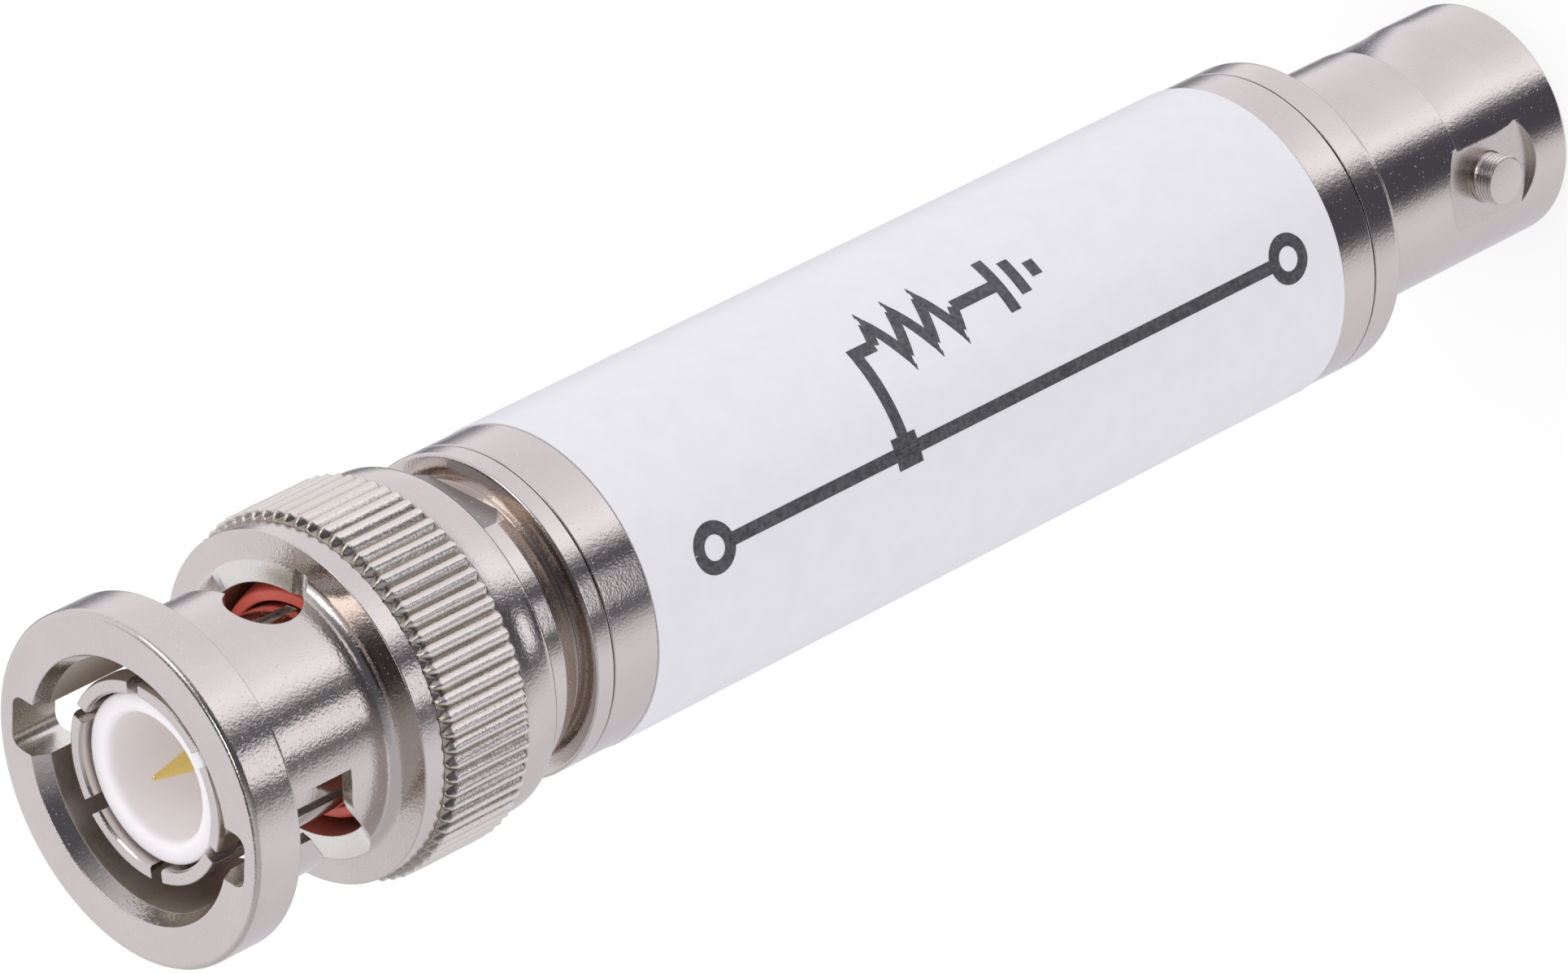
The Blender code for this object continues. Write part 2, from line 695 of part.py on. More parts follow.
def plug_insulator():
    """The white tube inside the fingers, hollow at the front and bored for the pin behind."""
    bore = PIN_RADIUS + FIT
    floor = INSULATOR_TOP - INSULATOR_MOUTH_DEPTH
    section = [
        (bore, INSULATOR_BOTTOM),
        (INSULATOR_RADIUS, INSULATOR_BOTTOM),
        (INSULATOR_RADIUS, INSULATOR_TOP),
        (INSULATOR_MOUTH_RADIUS + INSULATOR_MOUTH_EDGE, INSULATOR_TOP),
        (INSULATOR_MOUTH_RADIUS, INSULATOR_TOP - INSULATOR_MOUTH_EDGE),
        (INSULATOR_MOUTH_RADIUS, floor),
        (bore, floor),
    ]
    turned("plug_insulator", section, INSULATOR_SEGMENTS, white_resin())


def plug_rear_insulator():
    """The bead behind the front insulator, bored for the pin's cup and the wire."""
    cup_bore = CUP_RADIUS + FIT
    bottom = BODY_BOTTOM
    section = [
        (WIRE_BORE_RADIUS, bottom),
        (INSULATOR_RADIUS, bottom),
        (INSULATOR_RADIUS, REAR_INSULATOR_TOP),
        (cup_bore, REAR_INSULATOR_TOP),
        (cup_bore, CUP_BOTTOM - FIT),
        (WIRE_BORE_RADIUS, CUP_BOTTOM - FIT),
    ]
    turned("plug_rear_insulator", section, INSULATOR_SEGMENTS, white_resin())


def plug_pin():
    """The pointed centre pin, with a solder cup at its rear."""
    section = [
        (0.0, CUP_BOTTOM + CUP_DEPTH),
        (WIRE_BORE_RADIUS, CUP_BOTTOM + CUP_DEPTH),
        (WIRE_BORE_RADIUS, CUP_BOTTOM),
        (CUP_RADIUS, CUP_BOTTOM),
        (CUP_RADIUS, CUP_TOP),
        (PIN_RADIUS, CUP_TOP),
        (PIN_RADIUS, PIN_TOP - PIN_POINT_LENGTH),
        (PIN_POINT_RADIUS, PIN_TOP - PIN_POINT_RADIUS),
        (0.0, PIN_TOP),
    ]
    turned("plug_pin", section, PIN_SEGMENTS, gold())


def front_end_cap():
    """The cap that joins plug and tube, with a flatted collar, a groove and a rim."""
    web_top = CAP_BOTTOM + CAP_WEB_THICKNESS
    section = [
        (CAP_WEB_BORE_RADIUS, CAP_BOTTOM),
        (SPIGOT_RADIUS, CAP_BOTTOM),
        (SPIGOT_RADIUS, CAP_RIM_BOTTOM),
        (TUBE_RADIUS, CAP_RIM_BOTTOM),
        (TUBE_RADIUS, CAP_RIM_TOP - CAP_RIM_EDGE),
        (TUBE_RADIUS - CAP_RIM_EDGE, CAP_RIM_TOP),
        (CAP_GROOVE_RADIUS, CAP_RIM_TOP),
        (CAP_GROOVE_RADIUS, COLLAR_BOTTOM),
        (COLLAR_RADIUS - COLLAR_CHAMFER_DEPTH, COLLAR_BOTTOM),
        (COLLAR_RADIUS, COLLAR_BOTTOM + COLLAR_CHAMFER_LENGTH),
        (COLLAR_RADIUS, COLLAR_TOP),
        (STEM_BORE_RADIUS, COLLAR_TOP),
        (STEM_BORE_RADIUS, web_top),
        (CAP_WEB_BORE_RADIUS, web_top),
    ]
    cap = turned("front_end_cap", section, BODY_SEGMENTS, nickel())
    for number, side in enumerate((-1, 1)):
        near = side * WRENCH_FLAT_LEVEL
        far = side * (COLLAR_RADIUS + CUT_OVERRUN)
        low = (-COLLAR_RADIUS, min(near, far), COLLAR_BOTTOM)
        high = (COLLAR_RADIUS, max(near, far), COLLAR_TOP + CUT_OVERRUN)
        cut(cap, cutter_object(f"flat_cutter_{number + 1}", box_bmesh(low, high)))


def body_tube():
    """The tube round the load, turned down a little where the sleeve lies."""
    ledge = SLEEVE_CLEARANCE
    section = [
        (TUBE_BORE_RADIUS, TUBE_BOTTOM),
        (TUBE_RADIUS - TUBE_EDGE, TUBE_BOTTOM),
        (TUBE_RADIUS, TUBE_BOTTOM + TUBE_EDGE),
        (TUBE_RADIUS, SLEEVE_BOTTOM - ledge),
        (TUBE_RELIEF_RADIUS, SLEEVE_BOTTOM - ledge),
        (TUBE_RELIEF_RADIUS, SLEEVE_TOP + ledge),
        (TUBE_RADIUS, SLEEVE_TOP + ledge),
        (TUBE_RADIUS, TUBE_TOP - TUBE_EDGE),
        (TUBE_RADIUS - TUBE_EDGE, TUBE_TOP),
        (TUBE_BORE_RADIUS, TUBE_TOP),
    ]
    turned("body_tube", section, BODY_SEGMENTS, nickel())


def label_sleeve():
    """The thin white sleeve round the tube."""
    inner = SLEEVE_RADIUS - SLEEVE_WALL
    flat_ring(
        "label_sleeve",
        inner,
        SLEEVE_RADIUS,
        SLEEVE_BOTTOM,
        SLEEVE_TOP,
        BODY_SEGMENTS,
        white_film(),
    )


def socket_section():
    """The socket shell's section, from its mouth up the outside and down the bore."""
    foot_bottom = BARREL_LENGTH - BARREL_FOOT_LENGTH
    return [
        (BARREL_BORE_RADIUS + BARREL_EDGE, 0.0),
        (BARREL_RADIUS - BARREL_EDGE, 0.0),
        (BARREL_RADIUS, BARREL_EDGE),
        (BARREL_RADIUS, foot_bottom),
        (BARREL_FOOT_RADIUS, foot_bottom + BARREL_EDGE),
        (BARREL_FOOT_RADIUS, BARREL_LENGTH),
        (TUBE_RADIUS - SHELL_FLANGE_EDGE, BARREL_LENGTH),
        (TUBE_RADIUS, BARREL_LENGTH + SHELL_FLANGE_EDGE),
        (TUBE_RADIUS, SHELL_FLANGE_TOP),
        (SPIGOT_RADIUS, SHELL_FLANGE_TOP),
        (SPIGOT_RADIUS, SHELL_TOP),
        (SHELL_BORE_RADIUS, SHELL_TOP),
        (SHELL_BORE_RADIUS, BARREL_BORE_DEPTH),
        (BARREL_BORE_RADIUS, BARREL_BORE_DEPTH),
        (BARREL_BORE_RADIUS, BARREL_EDGE),
    ]


def socket_shell():
    """The socket's body: barrel, flange and spigot, with a flat seat and a hole for each lug."""
    shell = turned("socket_shell", socket_section(), BODY_SEGMENTS, nickel())
    for number in range(BAYONET_COUNT):
        angle = LUG_TURN + 2 * pi * number / BAYONET_COUNT
        outer = BARREL_RADIUS + CUT_OVERRUN
        seat = radial_cylinder(LUG_SEAT_RADIUS, LUG_SEAT_LEVEL, outer, LUG_HEIGHT, angle)
        cut(shell, cutter_object(f"lug_seat_cutter_{number + 1}", seat))
        inner = BARREL_BORE_RADIUS - CUT_OVERRUN
        hole = radial_cylinder(LUG_RADIUS + PRESS_FIT, inner, outer, LUG_HEIGHT, angle)
        cut(shell, cutter_object(f"lug_hole_cutter_{number + 1}", hole))


def bayonet_lugs():
    """The two pins pressed through the barrel's wall, each with a small edge at its tip."""
    root = LUG_SEAT_LEVEL - LUG_ROOT_DEPTH
    section = [
        (0.0, root),
        (LUG_RADIUS, root),
        (LUG_RADIUS, LUG_TIP_RADIUS - LUG_EDGE),
        (LUG_RADIUS - LUG_EDGE, LUG_TIP_RADIUS),
        (0.0, LUG_TIP_RADIUS),
    ]
    for number in range(BAYONET_COUNT):
        angle = LUG_TURN + 2 * pi * number / BAYONET_COUNT
        name = f"bayonet_lug_{number + 1}"
        lug = turned(name, section, CUTTER_SEGMENTS, nickel(), (0.0, 0.0, LUG_HEIGHT))
        lug.rotation_euler = (0.0, pi / 2, angle)


def socket_insulator():
    """The white post in the socket's mouth, with a wider base that fills the shell's bore."""
    bore = CONTACT_RADIUS + FIT
    step = BARREL_BORE_DEPTH + FIT
    section = [
        (bore, SOCKET_POST_SETBACK),
        (SOCKET_POST_RADIUS, SOCKET_POST_SETBACK),
        (SOCKET_POST_RADIUS, step),
        (SOCKET_INSULATOR_RADIUS, step),
        (SOCKET_INSULATOR_RADIUS, SOCKET_INSULATOR_TOP),
        (bore, SOCKET_INSULATOR_TOP),
    ]
    turned("socket_insulator", section, INSULATOR_SEGMENTS, white_resin())


def socket_rear_insulator():
    """The bead that closes the shell's bore behind the contact."""
    section = [
        (WIRE_BORE_RADIUS, SOCKET_INSULATOR_TOP + FIT),
        (SOCKET_INSULATOR_RADIUS, SOCKET_INSULATOR_TOP + FIT),
        (SOCKET_INSULATOR_RADIUS, SHELL_TOP),
        (WIRE_BORE_RADIUS, SHELL_TOP),
    ]
    turned("socket_rear_insulator", section, INSULATOR_SEGMENTS, white_resin())


def socket_contact():
    """The split gold sleeve that takes the mating pin, with a solder cup at its rear."""
    bore_end = CONTACT_SETBACK + CONTACT_BORE_DEPTH
    cup_floor = CONTACT_TOP - CUP_DEPTH
    section = [
        (0.0, bore_end),
        (CONTACT_BORE_RADIUS, bore_end),
        (CONTACT_BORE_RADIUS, CONTACT_SETBACK),
        (CONTACT_RADIUS, CONTACT_SETBACK),
        (CONTACT_RADIUS, CONTACT_TOP),
        (WIRE_BORE_RADIUS, CONTACT_TOP),
        (WIRE_BORE_RADIUS, cup_floor),
        (0.0, cup_floor),
    ]
    contact = turned("socket_contact", section, PIN_SEGMENTS, gold())
    slot_cutters(
        contact,
        "contact_slot_cutter",
        CONTACT_SLOT_COUNT,
        CONTACT_SLOT_WIDTH,
        CONTACT_RADIUS + CUT_OVERRUN,
        CONTACT_SETBACK - CUT_OVERRUN,
        CONTACT_SETBACK + CONTACT_SLOT_LENGTH,
    )


def through_conductor():
    """The straight wire that joins pin and contact, seated in their solder cups."""
    bottom = CONTACT_TOP - CUP_DEPTH + FIT
    top = CUP_BOTTOM + CUP_DEPTH - FIT
    section = [
        (0.0, bottom),
        (CONDUCTOR_RADIUS, bottom),
        (CONDUCTOR_RADIUS, top),
        (0.0, top),
    ]
    turned("through_conductor", section, PIN_SEGMENTS, copper())


def ground_ring():
    """The ring that joins the resistors' ground leads to the socket shell."""
    ring = flat_ring(
        "ground_ring",
        GROUND_RING_BORE_RADIUS,
        SPIGOT_RADIUS,
        GROUND_RING_BOTTOM,
        GROUND_RING_TOP,
        INSULATOR_SEGMENTS,
        copper(),
    )
    for number in range(RESISTOR_COUNT):
        x, y = resistor_place(number)
        bm = bmesh.new()
        bmesh.ops.create_cone(
            bm,
            cap_ends=True,
            segments=PIN_SEGMENTS,
            radius1=LEAD_RADIUS + FIT,
            radius2=LEAD_RADIUS + FIT,
            depth=GROUND_RING_THICKNESS + 2 * CUT_OVERRUN,
            matrix=Matrix.Translation((x, y, GROUND_RING_BOTTOM)),
        )
        cut(ring, cutter_object(f"lead_hole_cutter_{number + 1}", bm))


def resistor_place(number):
    """Where a resistor's axis lies, seen from above."""
    angle = 2 * pi * number / RESISTOR_COUNT
    return RESISTOR_OFFSET * cos(angle), RESISTOR_OFFSET * sin(angle)


def load_resistor(number):
    """One film resistor, thicker at its end caps."""
    length = RESISTOR_LENGTH
    end = RESISTOR_END_LENGTH
    edge = RESISTOR_EDGE
    section = [
        (0.0, 0.0),
        (RESISTOR_RADIUS - edge, 0.0),
        (RESISTOR_RADIUS, edge),
        (RESISTOR_RADIUS, end),
        (RESISTOR_WAIST_RADIUS, end + edge),
        (RESISTOR_WAIST_RADIUS, length - end - edge),
        (RESISTOR_RADIUS, length - end),
        (RESISTOR_RADIUS, length - edge),
        (RESISTOR_RADIUS - edge, length),
        (0.0, length),
    ]
    x, y = resistor_place(number)
    name = f"load_resistor_{number + 1}"
    turned(name, section, PIN_SEGMENTS, resistor_lacquer(), (x, y, RESISTOR_HEIGHT))


def wire(name, points):
    """A round wire along a list of points, with closed ends."""
    curve = bpy.data.curves.new(name, "CURVE")
    curve.dimensions = "3D"
    curve.bevel_depth = LEAD_RADIUS
    curve.bevel_resolution = 2
    curve.use_fill_caps = True
    curve.materials.append(copper())
    spline = curve.splines.new("POLY")
    spline.points.add(len(points) - 1)
    for place, point in zip(spline.points, points):
        place.co = (*point, 1.0)
    item = bpy.data.objects.new(name, curve)
    bpy.context.scene.collection.objects.link(item)


def feed_lead(number):
    """The lead that leaves a resistor's top and bends in to the through conductor."""
    x, y = resistor_place(number)
    out = Vector((x, y, 0.0)).normalized()
    base = RESISTOR_HEIGHT + RESISTOR_LENGTH + FIT
    rise = base + LEAD_RUN
    bend = LEAD_BEND_RADIUS
    points = [Vector((x, y, base))]
    for run, climb in arc((-bend, 0.0), bend, 0.0, pi / 2, 6):
        points.append(Vector((x, y, rise + climb)) + out * run)
    points.append(out * (CONDUCTOR_RADIUS + FIT) + Vector((0.0, 0.0, rise + bend)))
    wire(f"feed_lead_{number + 1}", points)


def ground_lead(number):
    """The straight lead from a resistor's foot into the ground ring."""
    x, y = resistor_place(number)
    top = RESISTOR_HEIGHT - FIT
    wire(f"ground_lead_{number + 1}", [(x, y, top), (x, y, GROUND_RING_BOTTOM + FIT)])


def build():
    """Makes every piece, from the socket's end to the plug's."""
    clear_scene()
    socket_shell()
    bayonet_lugs()
    socket_insulator()
    socket_rear_insulator()
    socket_contact()
    body_tube()
    label_sleeve()
    ground_ring()
    through_conductor()
    for number in range(RESISTOR_COUNT):
        load_resistor(number)
        feed_lead(number)
        ground_lead(number)
    front_end_cap()
    plug_body()
    gasket()
    plug_insulator()
    plug_rear_insulator()
    plug_pin()
    wave_washer()
    thrust_washer()
    retaining_ring()
    coupling_nut()


build()
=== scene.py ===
"""The in-line bayonet termination in its finish, with floor, light and camera.

Heights and radii are in millimetres up to the point where a mesh is made, in the same
frame as the solids: the socket's front face is at height 0 and the plug's at 72.
"""

from math import cos, pi, radians, sin, tan

import bmesh
import bpy
from mathutils import Matrix, Quaternion, Vector, noise

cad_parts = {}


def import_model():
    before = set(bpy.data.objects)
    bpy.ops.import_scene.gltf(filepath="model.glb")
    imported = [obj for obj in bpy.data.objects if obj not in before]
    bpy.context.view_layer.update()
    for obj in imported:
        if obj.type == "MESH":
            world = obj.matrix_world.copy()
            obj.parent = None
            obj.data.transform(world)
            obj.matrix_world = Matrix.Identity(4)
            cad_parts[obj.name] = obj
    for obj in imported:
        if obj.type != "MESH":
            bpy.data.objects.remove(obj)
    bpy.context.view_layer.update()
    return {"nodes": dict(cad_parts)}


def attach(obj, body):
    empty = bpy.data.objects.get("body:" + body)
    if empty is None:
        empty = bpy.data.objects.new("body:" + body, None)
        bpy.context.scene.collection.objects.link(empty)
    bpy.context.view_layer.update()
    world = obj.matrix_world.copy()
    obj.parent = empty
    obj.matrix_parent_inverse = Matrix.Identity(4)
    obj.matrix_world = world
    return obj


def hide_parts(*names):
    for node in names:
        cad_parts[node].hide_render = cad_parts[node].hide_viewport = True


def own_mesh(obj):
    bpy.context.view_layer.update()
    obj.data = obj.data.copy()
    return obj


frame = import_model()
NODES = frame["nodes"]

MM = 0.001

# Camera, fitted to the rings of the nut, the tube and the barrel
CAMERA_PLACE = Vector((236.377, 187.596, 273.522)) * MM
CAMERA_TURN = Quaternion((0.8931298, -0.2371165, 0.3706173, 0.0934764))
CAMERA_LENS = 234.1

# Heights along the part
LENGTH = 72.0
BARREL_END = 11.5
FLANGE_TOP = 13.0
TUBE_BOTTOM = 13.05
SLEEVE_BOTTOM = 14.85
SLEEVE_TOP = 51.85
TUBE_TOP = 54.05
RIM_BOTTOM = 54.1
RIM_TOP = 54.95
COLLAR_BOTTOM = 55.4
COLLAR_TOP = 57.9
NUT_BOTTOM = 57.25
KNURL_BOTTOM = 58.9
KNURL_TOP = 63.0
FLARE_BOTTOM = 63.90
NECK_BOTTOM = 64.52
RING_BOTTOM = 69.95
LUG_HEIGHT = 4.35
FINGER_FOOT = 61.30
GASKET_TOP = 62.75
GASKET_LIP_TOP = 63.55
FINGER_TOP = 71.18
INSULATOR_TOP = 70.80

# Radii, and the distance of the cap's wrench flats from the axis
NUT_RADIUS = 6.90
KNURL_FOOT = 6.87
TOOTH_RADIUS = 7.235
NECK_RADIUS = 5.45
BORE_RADIUS = 4.92
FINGER_RADIUS = 3.88
FINGER_BORE = 3.42
BEAD_RADIUS = 4.02
INSULATOR_RADIUS = 3.32
PIN_RADIUS = 0.675
CAP_RADIUS = 6.00
CAP_BORE = 4.60
GROOVE_RADIUS = 5.40
FLAT_DISTANCE = 5.46
TUBE_RADIUS = 6.41
TUBE_SEAT_RADIUS = 6.33
TUBE_BORE = 5.85
SLEEVE_RADIUS = 6.47
SLEEVE_BORE = 6.355
SPIGOT_RADIUS = 5.75
BARREL_RADIUS = 4.84
BARREL_BORE = 4.06
LUG_RADIUS = 0.98
LUG_HOLE_RADIUS = 1.03

# Directions round the part, in degrees
NUT_TURN = -4.5
LUG_TURN = 8.5

# Share of white that the floor shows, where the rest is its own colour with the shadow
FLOOR_GLOW_SHARE = 0.75

# Colour of the light that reflections show
ROOM_TINT = (0.955, 0.965, 1.06, 1)

# Facets round a turned piece, and teeth round the knurl
SEGMENTS = 288
TEETH = 72


# Mesh helpers


def new_object(name, mesh, material, body, node=None):
    """Links a mesh as a piece that rides on a body and may stand for CAD nodes."""
    item = bpy.data.objects.new(name, mesh)
    bpy.context.scene.collection.objects.link(item)
    mesh.materials.clear()
    mesh.materials.append(material)
    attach(item, body)
    if node:
        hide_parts(*([node] if isinstance(node, str) else node))
    return item


def mesh_from(name, bm):
    """Turns a bmesh in millimetres into a mesh in metres whose faces point out."""
    bmesh.ops.recalc_face_normals(bm, faces=bm.faces)
    bmesh.ops.scale(bm, vec=(MM, MM, MM), verts=bm.verts)
    mesh = bpy.data.meshes.new(name)
    bm.to_mesh(mesh)
    bm.free()
    return mesh


def smooth(mesh, angle=32):
    mesh.shade_smooth()
    mesh.set_sharp_from_angle(angle=radians(angle))
    return mesh


def rounded(section, steps=4):
    """A section of (radius, height) corners, where a third value rounds the corner."""
    points = []
    count = len(section)
    for k, corner in enumerate(section):
        here = Vector(corner[:2])
        size = corner[2] if len(corner) > 2 else 0.0
        if not size:
            points.append(here)
            continue
        before = Vector(section[k - 1][:2]) - here
        after = Vector(section[(k + 1) % count][:2]) - here
        reach = size / tan(before.angle(after) / 2)
        reach = min(reach, 0.48 * before.length, 0.48 * after.length)
        start = here + before.normalized() * reach
        end = here + after.normalized() * reach
        for step in range(steps + 1):
            t = step / steps
            points.append(start * (1 - t) ** 2 + here * 2 * t * (1 - t) + end * t * t)
    return points


def supported(points, margin=0.03):
    """Adds a point close to each end of a long side, which keeps its shading straight."""
    made = []
    for here, after in zip(points, points[1:] + points[:1]):
        made.append(here)
        step = after - here
        if step.length > 5 * margin and min(here.x, after.x) > 0.05:
            made.append(here + step.normalized() * margin)
            made.append(after - step.normalized() * margin)
    return made


def lathe(section, segments=SEGMENTS, steps=4):
    """Spins a closed section round the vertical axis into a bmesh in millimetres."""
    bm = bmesh.new()
    rings = []
    for radius, height in supported(rounded(section, steps)):
        if radius < 1e-6:
            rings.append([bm.verts.new((0, 0, height))])
            continue
        ring = []
        for k in range(segments):
            angle = 2 * pi * k / segments
            ring.append(bm.verts.new((radius * cos(angle), radius * sin(angle), height)))
        rings.append(ring)
    pairs = list(zip(rings, rings[1:]))
    if len(rings[0]) > 1:
        pairs.append((rings[-1], rings[0]))
    for first, second in pairs:
        for k in range(segments):
            n = (k + 1) % segments
            if len(first) == 1:
                bm.faces.new((first[0], second[k], second[n]))
            elif len(second) == 1:
                bm.faces.new((first[k], first[n], second[0]))
            else:
                bm.faces.new((first[k], first[n], second[n], second[k]))
    return bm


def turned(name, section, segments=SEGMENTS):
    return smooth(mesh_from(name, lathe(section, segments)))


def apply_modifiers(item):
    """Keeps the evaluated mesh and drops the modifiers."""
    bpy.context.view_layer.update()
    graph = bpy.context.evaluated_depsgraph_get()
    mesh = bpy.data.meshes.new_from_object(item.evaluated_get(graph))
    item.modifiers.clear()
    item.data = mesh


def carve(item, cutters, metal=None):
    """Cuts bmeshes out of a piece; the cut faces get a metal of their own where one is named."""
    made = []
    for k, bm in enumerate(cutters):
        mesh = mesh_from(f"{item.name}_cutter_{k}", bm)
        if metal:
            mesh.materials.append(MATERIALS[metal])
        cutter = bpy.data.objects.new(mesh.name, mesh)
        bpy.context.scene.collection.objects.link(cutter)
        modifier = item.modifiers.new(cutter.name, "BOOLEAN")
        modifier.operation = "DIFFERENCE"
        modifier.solver = "EXACT"
        modifier.material_mode = "TRANSFER" if metal else "INDEX"
        modifier.object = cutter
        made.append(cutter)
    apply_modifiers(item)
    for cutter in made:
        bpy.data.objects.remove(cutter, do_unlink=True)
    smooth(item.data)


def recoat(item, metal, chosen):
    """Gives the faces that a test chooses another metal."""
    item.data.materials.append(MATERIALS[metal])
    for face in item.data.polygons:
        if chosen(face):
            face.material_index = len(item.data.materials) - 1


def weigh_normals(item):
    """Lets large faces set the shading of the corners that they share with small ones."""
    modifier = item.modifiers.new("weigh", "WEIGHTED_NORMAL")
    modifier.keep_sharp = True
    modifier.mode = "FACE_AREA"
    modifier.weight = 80
    apply_modifiers(item)


def block(low, high):
    """A box between two corners, as a bmesh."""
    bm = bmesh.new()
    bmesh.ops.create_cube(bm, size=1.0)
    bmesh.ops.scale(bm, vec=Vector(high) - Vector(low), verts=bm.verts)
    bmesh.ops.translate(bm, vec=(Vector(high) + Vector(low)) / 2, verts=bm.verts)
    return bm


def swing(bm, angle):
    """Turns a bmesh about the vertical axis by degrees."""
    bmesh.ops.rotate(bm, matrix=Matrix.Rotation(radians(angle), 3, "Z"), verts=bm.verts)
    return bm


def spoke(radius, inner, outer, height, angle, segments=48):
    """A cylinder that runs straight out from the axis, at a height and an angle."""
    bm = bmesh.new()
    place = (
        Matrix.Rotation(radians(angle), 4, "Z")
        @ Matrix.Translation(((inner + outer) / 2, 0, height))
        @ Matrix.Rotation(pi / 2, 4, "Y")
    )
    bmesh.ops.create_cone(
        bm,
        cap_ends=True,
        segments=segments,
        radius1=radius,
        radius2=radius,
        depth=outer - inner,
        matrix=place,
    )
    return bm


# Materials


def principled(name, colour, roughness, metallic=0.0):
    """A new material and its shader."""
    material = bpy.data.materials.new(name)
    material.use_nodes = True
    shader = material.node_tree.nodes["Principled BSDF"]
    shader.inputs["Base Color"].default_value = (*colour, 1)
    shader.inputs["Roughness"].default_value = roughness
    shader.inputs["Metallic"].default_value = metallic
    material.diffuse_color = (*colour, 1)
    return material, shader


def node(material, kind, **sockets):
    """Adds a shader node and sets its sockets by name."""
    made = material.node_tree.nodes.new(kind)
    for key, value in sockets.items():
        made.inputs[key.replace("_", " ")].default_value = value
    return made


def link(material, output, target):
    material.node_tree.links.new(output, target)


def object_space(material):
    return node(material, "ShaderNodeTexCoord").outputs["Object"]


def noise_node(material, scale, detail=2.0, roughness=0.5, vector=None):
    made = node(material, "ShaderNodeTexNoise", Scale=scale, Detail=detail, Roughness=roughness)
    link(material, vector or object_space(material), made.inputs["Vector"])
    return made.outputs["Fac"]


def range_node(tree, value, low, high, to_low, to_high, kind="SMOOTHSTEP"):
    """Maps a range of a value onto another range, clamped, and smoothly unless told otherwise."""
    made = tree.nodes.new("ShaderNodeMapRange")
    made.interpolation_type = kind
    limits = (low, high, to_low, to_high)
    for key, number in zip(("From Min", "From Max", "To Min", "To Max"), limits):
        made.inputs[key].default_value = number
    tree.links.new(value, made.inputs["Value"])
    return made.outputs["Result"]


def spread(material, value, low, high, to_low, to_high):
    """Maps a range of a value onto another range in a straight line, clamped."""
    return range_node(material.node_tree, value, low, high, to_low, to_high, "LINEAR")


def scalar(tree, operation, first, second=None):
    """One step of arithmetic, where each value is a number or an output."""
    made = tree.nodes.new("ShaderNodeMath")
    made.operation = operation
    for socket, value in zip(made.inputs, (first, second)):
        if isinstance(value, (int, float)):
            socket.default_value = value
        elif value is not None:
            tree.links.new(value, socket)
    return made.outputs[0]


def blend(material, factor, first, second):
    """Mixes two colours, each given as a colour or an output."""
    made = node(material, "ShaderNodeMix")
    made.data_type = "RGBA"
    link(material, factor, made.inputs["Factor"])
    for socket, colour in ((made.inputs[6], first), (made.inputs[7], second)):
        if isinstance(colour, tuple):
            socket.default_value = (*colour, 1)
        else:
            link(material, colour, socket)
    return made.outputs[2]


def bump(material, height, strength, distance, normal=None):
    made = node(material, "ShaderNodeBump", Strength=strength, Distance=distance)
    link(material, height, made.inputs["Height"])
    if normal:
        link(material, normal, made.inputs["Normal"])
    return made.outputs["Normal"]


def edge_round(material, radius):
    made = node(material, "ShaderNodeBevel", Radius=radius)
    made.samples = 4
    return made.outputs["Normal"]


def axis_distance(material):
    """Distance from the part's axis."""
    flatten = node(material, "ShaderNodeVectorMath")
    flatten.operation = "MULTIPLY"
    flatten.inputs[1].default_value = (1, 1, 0)
    link(material, object_space(material), flatten.inputs[0])
    reach = node(material, "ShaderNodeVectorMath")
    reach.operation = "LENGTH"
    link(material, flatten.outputs[0], reach.inputs[0])
    return reach.outputs["Value"]


def specks(material, scale, size, share):
    """Small round spots in some cells of a random pattern, from 0 to 1."""
    cells = node(material, "ShaderNodeTexVoronoi", Scale=scale)
    link(material, object_space(material), cells.inputs["Vector"])
    dome = spread(material, cells.outputs["Distance"], size * 0.45, size, 1.0, 0.0)
    chosen = spread(material, cells.outputs["Color"], 1.0 - share, 1.02 - share, 0.0, 1.0)
    return scalar(material.node_tree, "MULTIPLY", dome, chosen)


